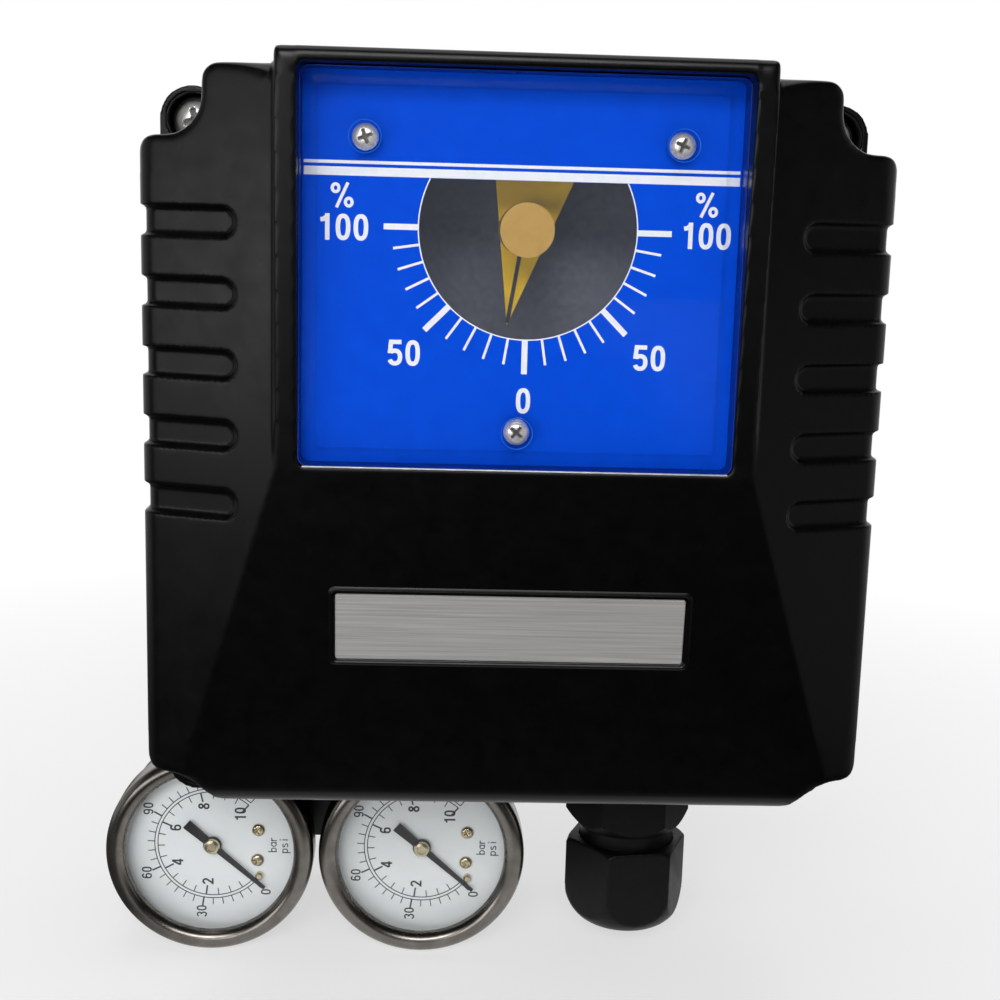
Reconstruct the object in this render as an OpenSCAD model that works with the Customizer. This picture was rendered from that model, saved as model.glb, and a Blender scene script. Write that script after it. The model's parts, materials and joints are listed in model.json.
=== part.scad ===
// Rotary electro-pneumatic valve positioner with two pressure gauges and a cable gland.
// Modelled lying on its mounting face: x to the right, y up the dial, z from the mounting
// face to the viewer, with the feedback shaft on the z axis. upright() then stands it up.

/* [Housing] */
// Width of the housing across its side walls
housing_w = 135.6; // [131:0.2:150]
// Height of the housing from its bottom wall to its top wall
housing_h = 135.4; // [133:0.2:150]
// Depth of the body from the mounting face to the joint with the cover
body_depth = 50; // [49:1:60]
// Height of the top wall above the shaft axis
shaft_to_top = 27; // [26.8:0.2:30]
// Sideways offset of the shaft axis from the housing's centre line
shaft_offset = 1.2; // [0:0.2:3]
// Thickness of the body's side walls
wall = 4; // [3.6:0.2:5]
// Thickness of the body's rear wall
rear_wall = 5; // [4:0.5:6]
// Radius of the housing's upright corners, beside the screw hollows
corner_r = 3; // [2:0.25:3.5]

/* [Cover] */
// Depth of the cover from its joint to the top of the window frame
cover_depth = 48; // [46:1:54]
// Thickness of the cover's walls
cover_wall = 3.5; // [3:0.25:4]
// Width of the flat nose that carries the window
nose_w = 85.5; // [84:0.5:92]
// Height of the window frame's top rail above the window
frame_rise = 5; // [3:0.5:7]
// Height of the frame's top rail above the housing's top wall
frame_overhang = 1.8; // [1:0.2:4]
// Fall of the side panels from the nose to the side walls
panel_drop = 9; // [8:0.5:12]
// Fall of the lower face from the window to the bottom wall
lower_drop = 7.2; // [6:0.2:12]
// Radius of the cover's outer edges
edge_r = 4; // [2:0.5:5]
// Number of grip grooves on each side
groove_count = 5; // [3:1:6]
// Width of a grip groove
groove_w = 5.1; // [4:0.1:6]
// Distance from one grip groove to the next
groove_pitch = 12.5; // [10:0.5:14]
// Length of a grip groove, in from the side wall
groove_len = 18; // [10:0.1:19]
// Depth of a grip groove
groove_depth = 1; // [0.6:0.1:1.5]

/* [Cover screws] */
// Distance of a cover screw from the side wall's outer face
screw_inset_x = 5.6; // [5:0.1:6]
// Distance of an upper cover screw below the top wall's outer face
screw_inset_top = 8; // [7.5:0.1:9]
// Distance of a lower cover screw below the bottom wall's outer face
screw_outset_low = 1.5; // [1:0.1:2]
// Radius of the hollow that clears each screw in the housing's corners
scallop_r = 6.9; // [6.6:0.1:7.2]
// Radius of the screw lugs
lug_r = 6.3; // [5.8:0.1:6.4]
// Height of the cover's screw lugs above the joint
lug_h = 8; // [5:0.5:10]
// Thickness of the body's screw lugs below the joint
ear_t = 5; // [4:0.5:5]
// Thread diameter of the cover screws
cover_screw_d = 5; // [4:0.5:5]

/* [Window] */
// Width of the window
window_w = 77; // [76:0.5:80]
// Height of the window
window_h = 68.5; // [66:0.5:70]
// Thickness of the window
window_t = 5; // [4:0.5:6]
// Distance of the window's lower edge below the shaft axis
window_drop = 42; // [41:0.5:44]
// Radius of the clear part of the scale
dial_r = 19.2; // [17:0.1:21]
// Height above the shaft axis at which the clear part is cut off
dial_cut = 8.5; // [6:0.5:12]
// Distance of the upper window screws from the housing's centre line
window_screw_x = 27.4; // [25:0.1:30]
// Height of the upper window screws above the shaft axis
window_screw_top = 15.1; // [13:0.1:18]
// Distance of the lower window screw below the shaft axis
window_screw_low = 35.5; // [30:0.1:37]
// Thread diameter of the window screws
window_screw_d = 2.5; // [2:0.5:3]

/* [Name plate] */
// Width of the blank name plate
plate_w = 64; // [50:1:80]
// Height of the blank name plate
plate_h = 12; // [8:0.5:16]
// Distance of the name plate's middle below the shaft axis
plate_drop = 72.4; // [66:0.2:84]

/* [Shaft and indicator] */
// Diameter of the feedback shaft
shaft_d = 12; // [11:0.5:13]
// Plain length of the shaft behind the mounting face
shaft_tail = 20; // [15:1:40]
// Thickness of the drive tang on the shaft's end
tang_t = 4; // [3:0.5:5]
// Length of the drive tang
tang_len = 5; // [4:0.5:8]
// Length of the pointer from the shaft axis to its tip
pointer_len = 17.9; // [15:0.1:18.5]
// Length of the pointer's tail
pointer_tail = 13; // [9:0.5:14]
// Diameter of the pointer's cap
pointer_cap_d = 9.7; // [9:0.1:12]
// Angle of the pointer at rest, from the zero mark towards the left
rest_angle = 9; // [0:1:18]

/* [Cam and lever] */
// Distance from the shaft axis to the roller's axis at rest
roller_reach = 22; // [21:0.5:24]
// Diameter of the cam roller
roller_d = 8; // [6:0.5:9]
// Distance from the lever's pivot to the roller's axis
lever_len = 40; // [38:1:42]
// Degrees that the lever swings for one degree of shaft turn
lever_ratio = 0.1; // [0.06:0.01:0.12]
// Distance of the feedback spring from the shaft axis, on the lever's free end
spring_reach = 18; // [16:0.5:20]

/* [Gauges] */
// Outside diameter of a gauge's bezel
gauge_d = 45.4; // [40:0.2:46]
// Distance from one gauge's axis to the other's
gauge_pitch = 46.5; // [46:0.1:50]
// Distance of the gauges' axes below the housing's bottom wall
gauge_drop = 28.5; // [28:0.1:32]
// Distance of the left gauge's axis from the shaft axis
gauge_left = 63.6; // [58:0.2:66]
// Setback of the gauges' bezels behind the joint of body and cover
gauge_setback = 6; // [5.5:0.5:8]

/* [Manifold] */
// Depth of the manifold block
manifold_depth = 16; // [15:0.5:17]
// Length of the manifold below the gauges' axes
manifold_below = 6.8; // [6:0.1:14]
// Diameter of the air ports' thread wall
port_d = 11.8; // [10:0.2:12]

/* [Cable gland] */
// Width of the gland's hexagons across their flats
gland_af = 24.2; // [23:0.2:27]
// Distance of the gland's axis to the right of the shaft axis
gland_x = 29.4; // [27:0.2:34]
// Height of the gland's axis above the mounting face
gland_z = 32; // [28:1:33]
// Length of the conduit boss below the housing
conduit_boss_len = 14; // [8:0.5:16]
// Thread diameter of the conduit entry
conduit_d = 21; // [19:0.5:21]
// Diameter of the hole in the gland's seal
cable_d = 10; // [6:0.5:12]

/* [Mounting holes] */
// Distance between the mounting holes, across
mount_pitch_x = 100; // [94:1:104]
// Distance between the mounting holes, up
mount_pitch_y = 30; // [26:1:34]
// Diameter of the tapped wall of a mounting hole
mount_hole_d = 6.8; // [5:0.1:7]
// Depth of a mounting hole
mount_hole_depth = 10; // [8:0.5:11]

/* [Hidden] */
$fn = 64;

// Clearances
gap = 0.3;           // between pieces that move past each other
run = 0.04;          // of a shaft or pin in its bore, on the radius
seat = 0.02;         // of a piece that is pressed or screwed in, on the radius
rest_gap = 0.1;      // between faces that lie on each other and move

// Housing planes
top_y = shaft_to_top;
bot_y = top_y - housing_h;
mid_y = (top_y + bot_y) / 2;
centre_x = -shaft_offset;
right_in = centre_x + housing_w / 2 - wall;
left_in = centre_x - housing_w / 2 + wall;
bottom_in = bot_y + wall;
screw_x = housing_w / 2 - screw_inset_x;
screw_top = top_y - screw_inset_top;
screw_low = bot_y - screw_outset_low;
screw_ys = [screw_top, screw_low];
hollow_at = [screw_x + 0.6, screw_top + 2.7];
low_hollow_at = [screw_x + 1.3, screw_low - 0.3];
low_hollow_r = scallop_r + 0.9;
low_blend_r = 7;

// Cover planes
frame_z = body_depth + cover_depth;
nose_z = frame_z - frame_rise;
half_w = housing_w / 2;
half_nose = nose_w / 2;
lower_top = -window_drop - 0.8;
panel_slope = panel_drop / (half_w - half_nose);
lower_slope = lower_drop / (lower_top - bot_y);
lower_tilt = atan(lower_slope);

// Stack under the window
film_t = 0.4;
window_gasket_t = 1;
window_back = nose_z - window_t;
film_back = window_back - film_t;
ledge_z = film_back - window_gasket_t;
ledge_t = 2.6;
nose_in = ledge_z - ledge_t;
window_fit = 0.2;
view_r = dial_r + 2.3;
window_mid_y = -window_drop + window_h / 2;
window_screw_at = [[centre_x - window_screw_x, window_screw_top],
    [centre_x + window_screw_x, window_screw_top], [centre_x, -window_screw_low]];
window_head_r = window_screw_d * 0.92;
window_head_h = window_screw_d * 0.64;
window_sink = window_head_h + 0.8;

// Shaft stack
tail_r = shaft_d / 2;
shaft_r = tail_r + 0.5;
neck_r = tail_r - 2;
tang_r = tail_r - 0.8;
boss_r = shaft_r + 8;
boss_top = 22;
bush_r = shaft_r + 3;
seal_t = 2.5;
cam_z = 40;
cam_t = 4;
cam_nut_t = 6;
plate_z = cam_z + cam_t + cam_nut_t + 4;
bearing_plate_t = 1.5;
cam_nut_r = shaft_r + 4;
clip_t = 1;
pointer_drop = 11;
pointer_z = nose_in - pointer_drop;
pointer_t = 1.5;
cap_front = film_back - 1.6;
pointer_half_angle = 14.8;

// Cam and lever
roller_r = roller_d / 2;
lever_z = cam_z - 8;
lever_t = 4;
lever_w = 12;
pivot = [lever_len, -roller_reach];
pivot_r = 3;
pivot_post_r = 5;
roller_pin_r = 1.6;
roller_t = cam_t;
turn_low = -rest_angle;
turn_high = 90 - rest_angle;
cam_margin = 16;

// The mechanism takes its places as shares of the body's inner width and of its height below the shaft
inner_w = right_in - left_in;
inner_h = -bottom_in;

// Motor
beam_y = -0.5939 * inner_h;
beam_z = lever_z + lever_t / 2;
beam_w = 8;
beam_t = 6;
beam_pivot_x = 0.0627 * inner_w;
beam_pin_r = 1.5;
beam_left = -0.2665 * inner_w;
beam_right = 0.3605 * inner_w;
coil_x = [0.1567, 0.2978] * inner_w;
coil_half = 13;
coil_flange_t = 2;
coil_inner = [5.5, 6];
magnet_x = [0.3292, 0.3919] * inner_w;
magnet_gap = 4;
magnet_h = 8;
yoke_t = 6;
base_t = 4;
base_z = beam_z - coil_half - base_t - 3;
base_half = 14;
base_x = [-0.1098, 0.4388] * inner_w;
base_y = [beam_y - base_half, beam_y + base_half];
base_top = base_z + base_t;

// Pilot valve, nozzle and zero adjuster
pilot_x = [-0.3997, -0.1567] * inner_w;
pilot_h = 21;
pilot_y = [bottom_in + 1.4, bottom_in + 1.4 + pilot_h];
pilot_top = 30;
pilot_gasket_t = pilot_y[0] - bottom_in;
spool_y = pilot_y[0] + 11;
spool_z = 16;
spool_r = 4;
spool_travel = 1;
spool_len = pilot_x[1] - pilot_x[0] - 6;
am_at = [-0.2978 * inner_w, pilot_y[0] + 13];
am_r = 3;
am_depth = 7;
pilot_cap_t = 3;
pilot_screw_r = 1.5;
pilot_screw_reach = 6.5;
nozzle_x = -0.2194 * inner_w;
nozzle_gap = 0.7;
nozzle_block_y = [pilot_y[1], (pilot_y[1] + beam_y - beam_t / 2 - nozzle_gap) / 2];
nozzle_block_half = 6;
nozzle_block_x = [nozzle_x - nozzle_block_half, nozzle_x + nozzle_block_half];
nozzle_block_z = [beam_z - 16, beam_z + nozzle_block_half];
zero_shelf_y = bottom_in + 10.4;
zero_shelf_t = 3;
zero_wheel_r = 8;
zero_x = pilot_x[1] + pilot_cap_t + zero_wheel_r + 1;
zero_wheel_h = 6;
zero_stud_r = 2.5;
spring_wire = 0.8;
feedback_spring_r = 3.4;
zero_spring_r = 3.4;
spring_play = 0.5;

// Bearing plate posts
plate_post_r = 3.5;
plate_post_x = 34;
plate_post_y = [16, -roller_reach - lever_w / 2 - plate_post_r - 4.5];

// Terminals
mount_boss_r = mount_hole_d / 2 + 3.2;
terminal_x = [right_in - 18, right_in - 2];
terminal_y = [max(-roller_reach + pivot_post_r + 2, mid_y + mount_pitch_y / 2 + mount_boss_r + 1),
    screw_top - scallop_r - wall - 1];
terminal_screw_in = 10;
terminal_seat = 8;
terminal_h = 20;
terminal_count = 3;
ground_at = [right_in - 9, bottom_in + 14];

// Gauges and manifold
gauge_r = gauge_d / 2;
gauge_front = body_depth - gauge_setback;
gauge_y = bot_y - gauge_drop;
gauge_xs = [-gauge_left, -gauge_left + gauge_pitch];
gauge_case_r = gauge_r - 1.2;
bezel_w = 4.4;
bezel_h = 8;
gauge_case_h = 19;
gauge_case_z = gauge_front - 2 - gauge_case_h;
lens_t = 1.5;
lens_z = gauge_front - 3.6;
dial_t = 0.8;
gauge_dial_z = gauge_front - 7;
needle_z = gauge_dial_z + dial_t + 0.7;
needle_t = 0.5;
needle_len = 15.2;
needle_tail = 7.5;
arbor_r = 0.9;
needle_rest = 131;     // from straight up, clockwise, where the scale's zero lies
stem_af = 14;
stem_r = 4.9;
stem_len = 8;
manifold_gasket_t = 1;
manifold_x = [gauge_xs[0] - 12, gauge_xs[1] + 12];
manifold_y = [gauge_y - manifold_below, bot_y - manifold_gasket_t];
port_z = manifold_depth / 2;
port_depth = 13;
port_xs = [for (sx = [-1, 1]) (gauge_xs[0] + gauge_xs[1]) / 2 + sx * (port_d / 2 + 5)];
supply_y = gauge_y + stem_r + port_d / 2 + 3;
manifold_screw_xs = [(gauge_xs[0] + gauge_xs[1]) / 2, manifold_x[1] - 4];
manifold_screw_z = manifold_depth / 2;
manifold_screw_r = 2;
manifold_head_r = 3.5;

// Gland
gland_corner_r = gland_af / sqrt(3);
gland_boss_r = conduit_d / 2 + 4.5;
gland_top = bot_y - conduit_boss_len;
gland_flange_h = 10;
gland_neck_r = conduit_d / 2;
gland_neck_len = 19;
gland_gap = 3.2;
gland_nut_top = gland_top - gland_flange_h - gland_gap;
gland_turn = -8;
gland_nut_len = 19.8;
gland_mouth_r = cable_d / 2 + 1.4;

// General helpers

module upright() {
    rotate([90, 0, 0]) children();
}

function unit(v) = v / norm(v);

// The arc that rounds corner b between points a and c with radius r
function corner_arc(a, b, c, r, n = 8) =
    r <= 0 ? [b] :
    let (
        u = unit(a - b),
        v = unit(c - b),
        half = acos(u * v) / 2,
        centre = b + unit(u + v) * r / sin(half),
        from = b + u * r / tan(half) - centre,
        to = b + v * r / tan(half) - centre,
        turn = 180 - 2 * half
    )
    [for (k = [0:n]) centre + (sin((1 - k / n) * turn) * from + sin(k / n * turn) * to) / sin(turn)];

// A closed outline through corners [x, y, radius]
function rounded_path(corners) =
    let (n = len(corners), p = [for (c = corners) [c[0], c[1]]])
    [for (i = [0:n - 1]) each corner_arc(p[(i + n - 1) % n], p[i], p[(i + 1) % n], corners[i][2])];

module rounded_rect(w, h, r) {
    square([w - 2 * r, h], center = true);
    square([w, h - 2 * r], center = true);
    for (sx = [-1, 1], sy = [-1, 1])
        translate([sx * (w / 2 - r), sy * (h / 2 - r)]) circle(r);
}

module block(x, y, z) {
    translate([x[0], y[0], z[0]]) cube([x[1] - x[0], y[1] - y[0], z[1] - z[0]]);
}

module rod(at, z, r) {
    translate([at[0], at[1], z[0]]) cylinder(h = z[1] - z[0], r = r);
}

module tube(at, z, r_out, r_in) {
    difference() {
        rod(at, z, r_out);
        rod(at, [z[0] - 1, z[1] + 1], r_in);
    }
}

// Stands children, drawn along +z, at a point so that they run down the dial (-y)
module downward(at) {
    translate(at) rotate([90, 0, 0]) children();
}

// A pan head screw with a cross recess: the head sits on z = 0 and the shank runs down
module pan_screw(d, shank, head_r, head_h) {
    recess = head_r * 0.28;
    difference() {
        union() {
            cylinder(h = head_h * 0.6, r = head_r);
            translate([0, 0, head_h * 0.6]) cylinder(h = head_h * 0.4, r1 = head_r, r2 = head_r * 0.72);
            translate([0, 0, -shank]) cylinder(h = shank, r = d / 2);
        }
        for (a = [0, 90])
            rotate(a) translate([-head_r * 0.55, -recess / 2, head_h * 0.45]) cube([head_r * 1.1, recess, head_h]);
    }
}

// A helical compression spring along +z from 0 to len
module coil_spring(r, wire, len, turns, sides = 6, per_turn = 12) {
    rings = turns * per_turn;
    rise = (len - wire) / rings;
    points = [for (i = [0:rings], j = [0:sides - 1])
        let (a = 360 * i / per_turn, b = 360 * j / sides, q = r + wire / 2 * cos(b))
        [q * cos(a), q * sin(a), wire / 2 + i * rise + wire / 2 * sin(b)]];
    sheet = [for (i = [0:rings - 1], j = [0:sides - 1])
        [i * sides + j, i * sides + (j + 1) % sides, (i + 1) * sides + (j + 1) % sides, (i + 1) * sides + j]];
    start = [[for (j = [0:sides - 1]) sides - 1 - j]];
    end = [[for (j = [0:sides - 1]) rings * sides + j]];
    polyhedron(points, concat(sheet, start, end));
}

// Housing

// The housing's outline, sunk by inset: square corners hollowed beside the cover screws. The lower
// hollows run out into the bottom wall at 45 degrees because their screws lie below it.
function housing_path(inset) =
    let (
        x = housing_w / 2 - inset,
        top = top_y - inset,
        bot = bot_y + inset,
        r = scallop_r + inset,
        low_r = low_hollow_r + inset,
        f = max(corner_r - inset, 0.4),
        hx = hollow_at[0] - r,
        hy = hollow_at[1] - r,
        low_x = low_hollow_at[0] - low_r * tan(22.5),
        low_y = low_hollow_at[1] + low_r,
        right = [[hx, top, f], [hx, hy, r], [x, hy, f], [x, low_y, f], [low_x, low_y, low_r],
            [low_x - low_y + bot, bot, max(low_blend_r - inset, 0.4)]],
        left = [for (k = [5:-1:0]) [-right[k][0], right[k][1], right[k][2]]]
    )
    rounded_path(concat(right, left));

module housing_outline(inset = 0) {
    translate([centre_x, 0]) polygon(housing_path(inset));
}

module at_cover_screws() {
    for (sx = [-1, 1], y = screw_ys)
        translate([centre_x + sx * screw_x, y]) children();
}

// Screw lugs in the corner hollows, each joined to the wall behind it
module lug_outline() {
    at_cover_screws() circle(lug_r);
    for (side = [0, 1]) translate([centre_x, 0]) mirror([side, 0, 0]) {
        translate([screw_x - scallop_r - 1, screw_top - scallop_r - 1])
            square([scallop_r + 1 + lug_r, scallop_r + 1]);
        translate([screw_x - lug_r, screw_low]) square([2 * lug_r - 1, scallop_r + 1]);
    }
}

module at_mounts() {
    for (sx = [-1, 1], sy = [-1, 1])
        translate([centre_x + sx * mount_pitch_x / 2, mid_y + sy * mount_pitch_y / 2]) children();
}

plate_posts = [for (sx = [-1, 1], y = plate_post_y) [sx * plate_post_x, y]];
base_posts = [for (x = [base_x[0] + 5, base_x[1] - 24], y = [base_y[0] + 4, base_y[1] - 4]) [x, y]];
gasket_w = 1.6;
gasket_inset = (wall - gasket_w) / 2;
gasket_t = 1.5;
mount_boss_h = mount_hole_depth + 3;

module body() color("#17181a") difference() {
    union() {
        difference() {
            union() {
                linear_extrude(body_depth) housing_outline();
                translate([0, 0, body_depth - ear_t]) linear_extrude(ear_t) lug_outline();
            }
            translate([0, 0, rear_wall]) linear_extrude(body_depth) housing_outline(wall);
        }
        rod([0, 0], [0, boss_top], boss_r);
        at_mounts() cylinder(h = mount_boss_h, r = mount_boss_r);
        for (p = plate_posts) rod(p, [rear_wall, plate_z], plate_post_r);
        for (p = base_posts) rod(p, [rear_wall, base_z], plate_post_r);
        rod(pivot, [rear_wall, lever_z - gap], pivot_post_r);
        rod(pivot, [lever_z - gap, lever_z + lever_t + gap + clip_t], pivot_r);
        downward([gland_x, bot_y + wall / 2, gland_z]) cylinder(h = conduit_boss_len + wall / 2, r = gland_boss_r);
    }
    translate([0, 0, body_depth - gasket_t]) linear_extrude(gasket_t + 1) difference() {
        housing_outline(gasket_inset - rest_gap);
        housing_outline(gasket_inset + gasket_w + rest_gap);
    }
    rod([0, 0], [-1, boss_top + 1], bush_r + seat);
    at_mounts() translate([0, 0, -1]) cylinder(h = mount_hole_depth + 1, r = mount_hole_d / 2);
    at_cover_screws() translate([0, 0, body_depth - ear_t - 1]) cylinder(h = ear_t + 2, r = cover_screw_d / 2 + seat);
    for (p = plate_posts) rod(p, [plate_z - 8, plate_z + 1], 1.5 + seat);
    rod(ground_at, [2, rear_wall + 1], 2 + seat);
    downward([gland_x, bottom_in + 1, gland_z])
        cylinder(h = wall + conduit_boss_len + 2, r = conduit_d / 2 + seat);
    for (x = manifold_screw_xs)
        downward([x, bottom_in + 1, manifold_screw_z]) cylinder(h = wall + 2, r = manifold_screw_r + seat);
}

// Cover

// Height of the outer side panel and lower face planes, sunk by inset along their normals
function panel_z(x, inset) = nose_z - panel_slope * (x - half_nose) - inset * sqrt(1 + panel_slope ^ 2);
function lower_z(y, inset) = nose_z - lower_slope * (lower_top - y) - inset * sqrt(1 + lower_slope ^ 2);

// Front view section through the cover: side walls, sloping side panels and flat nose
function plan_profile(inset, cap) =
    let (x = half_w - inset, r = max(edge_r - inset, 0.5), z = panel_z(x, inset),
        shoulder = half_nose + (panel_z(half_nose, inset) - cap) / panel_slope)
    rounded_path([[x, body_depth - 1, 0], [x, z, r], [shoulder, cap, 0],
        [-shoulder, cap, 0], [-x, z, r], [-x, body_depth - 1, 0]]);

// Side view section through the cover: bottom wall, sloping lower face, nose and top wall
function side_profile(inset, cap) =
    let (y = bot_y + inset, r = max(edge_r - inset, 0.5), z = lower_z(y, inset),
        brow = lower_top - (lower_z(lower_top, inset) - cap) / lower_slope)
    rounded_path([[y, body_depth - 1, 0], [y, z, r], [brow, cap, 0],
        [top_y - inset, cap, r], [top_y - inset, body_depth - 1, 0]]);

// The cover's form, sunk by inset, with its nose cut off at cap
module cover_form(inset, cap) intersection() {
    translate([0, 0, body_depth]) linear_extrude(cover_depth) housing_outline(inset);
    translate([centre_x, top_y + 1, 0]) rotate([90, 0, 0])
        linear_extrude(housing_h + 2) polygon(plan_profile(inset, cap));
    translate([centre_x - half_w - 1, 0, 0]) rotate([90, 0, 90])
        linear_extrude(housing_w + 2) polygon(side_profile(inset, cap));
}

// One grip groove, open at the side wall and round at its inner end
module groove_outline() {
    r = groove_w / 2;
    translate([half_w - groove_len + r, 0]) circle(r);
    translate([half_w - groove_len + r, -r]) square([groove_len, groove_w]);
}

module grip_grooves() {
    floor_z = panel_z(half_w, 0) - 14;
    difference() {
        for (side = [0, 1], k = [0:groove_count - 1])
            translate([centre_x, -k * groove_pitch, floor_z]) mirror([side, 0, 0])
                linear_extrude(cover_depth) groove_outline();
        cover_form(groove_depth, nose_z - groove_depth);
    }
}

// The raised frame round the window: its rails fall from the top rail to the lower face
frame_draft = 0.25;
frame_top = top_y + frame_overhang;
module window_frame() intersection() {
    translate([centre_x, frame_top + 1, 0]) rotate([90, 0, 0]) linear_extrude(frame_top - lower_top + 2)
        polygon(rounded_path([[half_nose + frame_draft, nose_in, 0], [half_nose - frame_draft, frame_z, 1.2],
            [-half_nose + frame_draft, frame_z, 1.2], [-half_nose - frame_draft, nose_in, 0]]));
    translate([centre_x - half_w, 0, 0]) rotate([90, 0, 90]) linear_extrude(housing_w)
        polygon(rounded_path([[lower_top, nose_in, 0], [lower_top, nose_z, 0],
            [frame_top, frame_z, 1.6], [frame_top, nose_in - 14, 0], [top_y - cover_wall / 2, nose_in - 14, 0],
            [top_y - cover_wall / 2, nose_in, 0]]));
}

module window_outline(clear = 0) {
    translate([centre_x, window_mid_y]) rounded_rect(window_w + 2 * clear, window_h + 2 * clear, 1.5);
}

plate_t = 1;
plate_sink = 0.7;
plate_fit = 0.2;
window_boss_r = 3.5;
window_boss_h = 5;
cup_r = lug_r - 1.3;
cup_floor = body_depth + 2;

// Places children, drawn on z = 0, on the sloping lower face where the name plate lies
module on_lower_face() {
    translate([centre_x, -plate_drop, lower_z(-plate_drop, 0)]) rotate([lower_tilt, 0, 0]) children();
}

module cover() color("#141516") difference() {
    union() {
        difference() {
            cover_form(0, nose_z);
            grip_grooves();
        }
        window_frame();
        translate([0, 0, body_depth]) linear_extrude(lug_h) lug_outline();
    }
    difference() {
        translate([0, 0, -1]) cover_form(cover_wall, nose_in);
        for (p = window_screw_at) rod(p, [nose_in - window_boss_h, nose_in + 1], window_boss_r);
    }
    translate([0, 0, ledge_z]) linear_extrude(cover_depth) window_outline(window_fit);
    rod([0, 0], [nose_in - 2, ledge_z + 1], view_r);
    for (p = window_screw_at) rod(p, [nose_in - window_boss_h + 1, ledge_z + 1], window_screw_d / 2 + seat);
    at_cover_screws() {
        translate([0, 0, cup_floor]) cylinder(h = lug_h, r = cup_r);
        translate([0, 0, body_depth - 1]) cylinder(h = lug_h, r = cover_screw_d / 2 + 0.3);
    }
    on_lower_face() translate([0, 0, -plate_sink])
        linear_extrude(plate_sink + 2) square([plate_w + 2 * plate_fit, plate_h + 2 * plate_fit], center = true);
}

module cover_gasket() color("#2b2b2b") translate([0, 0, body_depth - gasket_t]) linear_extrude(gasket_t)
    difference() {
        housing_outline(gasket_inset);
        housing_outline(gasket_inset + gasket_w);
    }

module cover_screws() color("silver") at_cover_screws() translate([0, 0, cup_floor])
    pan_screw(cover_screw_d, cup_floor - body_depth + ear_t, cover_screw_d * 0.8, 3);

module name_plate() color("#b9bbbd") on_lower_face() translate([0, 0, -plate_sink])
    linear_extrude(plate_t) rounded_rect(plate_w, plate_h, 0.6);

// Window

module window() color("#cfe4ff") difference() {
    translate([0, 0, window_back]) linear_extrude(window_t) window_outline();
    for (p = window_screw_at) {
        rod(p, [window_back - 1, nose_z + 1], window_screw_d / 2 + 0.15);
        rod(p, [nose_z - window_sink, nose_z + 1], window_head_r + 0.6);
    }
}

module scale_film() color("#0b49d6") translate([0, 0, film_back]) linear_extrude(film_t) difference() {
    window_outline();
    intersection() {
        circle(dial_r);
        translate([-dial_r, -dial_r]) square([2 * dial_r, dial_r + dial_cut]);
    }
    for (p = window_screw_at) translate(p) circle(window_screw_d / 2 + 0.15);
}

module window_gasket() color("#222222") translate([0, 0, ledge_z]) linear_extrude(window_gasket_t) difference() {
    window_outline();
    circle(view_r + 1.5);
    for (p = window_screw_at) translate(p) circle(window_screw_d / 2 + 0.15);
}

module window_screws() color("silver") for (p = window_screw_at)
    translate([p[0], p[1], nose_z - window_sink])
        pan_screw(window_screw_d, nose_z - window_sink - nose_in + window_boss_h - 2, window_head_r, window_head_h);

// Shaft assembly

module main_shaft() color("#9a9da1") difference() {
    union() {
        rod([0, 0], [-shaft_tail, 1], tail_r);
        rod([0, 0], [0, plate_z - gap], shaft_r);
        rod([0, 0], [plate_z - gap - 1, pointer_z + pointer_t], neck_r);
        intersection() {
            rod([0, 0], [-shaft_tail - tang_len, 0], tang_r);
            translate([-tail_r, -tang_t / 2, -shaft_tail - tang_len]) cube([shaft_d, tang_t, shaft_tail]);
        }
    }
    tube([0, 0], [boss_top + gap, boss_top + gap + clip_t], shaft_r + 1, shaft_r - 0.8);
}

module shaft_clip() color("#55585c") tube([0, 0], [boss_top + gap, boss_top + gap + clip_t], shaft_r + 2, shaft_r - 0.8);

module rear_bush() color("#a8823c") tube([0, 0], [seal_t, boss_top], bush_r, shaft_r + run);

module shaft_seal() color("#202020") tube([0, 0], [0, seal_t], bush_r, shaft_r + run);

module front_bush() color("#a8823c") {
    tube([0, 0], [plate_z, plate_z + bearing_plate_t], neck_r + 2, neck_r + run);
    tube([0, 0], [plate_z + bearing_plate_t, plate_z + bearing_plate_t + 1.5], neck_r + 3.5, neck_r + run);
}

// Position of the roller's axis with the shaft turned clockwise by a degrees from rest
function turned(p, a) = [p[0] * cos(a) - p[1] * sin(a), p[0] * sin(a) + p[1] * cos(a)];
function roller_at(a) = pivot + turned([0, -roller_reach] - pivot, lever_ratio * a);

// Cam edge point that the roller meets at shaft angle a, in the cam's rest position
function cam_edge(a) = let (p = turned(roller_at(a), a)) unit(p) * (norm(p) - roller_r - gap);

module feedback_cam() color("#c9b458") {
    first = turn_low - cam_margin;
    last = turn_high + cam_margin;
    rise = [for (k = [0:40]) cam_edge(first + (last - first) * k / 40)];
    base_r = norm(rise[0]);
    from = atan2(rise[40][1], rise[40][0]);
    dwell = [for (k = [1:29]) let (a = from + (360 - (last - first)) * k / 30) base_r * [cos(a), sin(a)]];
    translate([0, 0, cam_z]) linear_extrude(cam_t) difference() {
        polygon(concat(rise, dwell));
        circle(shaft_r + seat);
    }
}

module cam_nut() color("#8d8f92") translate([0, 0, cam_z + cam_t]) difference() {
    cylinder(h = cam_nut_t, r = cam_nut_r);
    translate([0, 0, -1]) cylinder(h = cam_nut_t + 2, r = shaft_r + seat);
    for (k = [0:17]) rotate(k * 20) translate([cam_nut_r + 0.4, 0, -1]) cylinder(h = cam_nut_t + 2, r = 1, $fn = 16);
}

module pointer() color("#f0c814") translate([0, 0, pointer_z]) rotate(-rest_angle) linear_extrude(pointer_t)
    difference() {
        half_tail = (pointer_len + pointer_tail) * tan(pointer_half_angle);
        polygon([[0, -pointer_len], [half_tail, pointer_tail], [-half_tail, pointer_tail]]);
        circle(neck_r + seat);
    }

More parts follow.
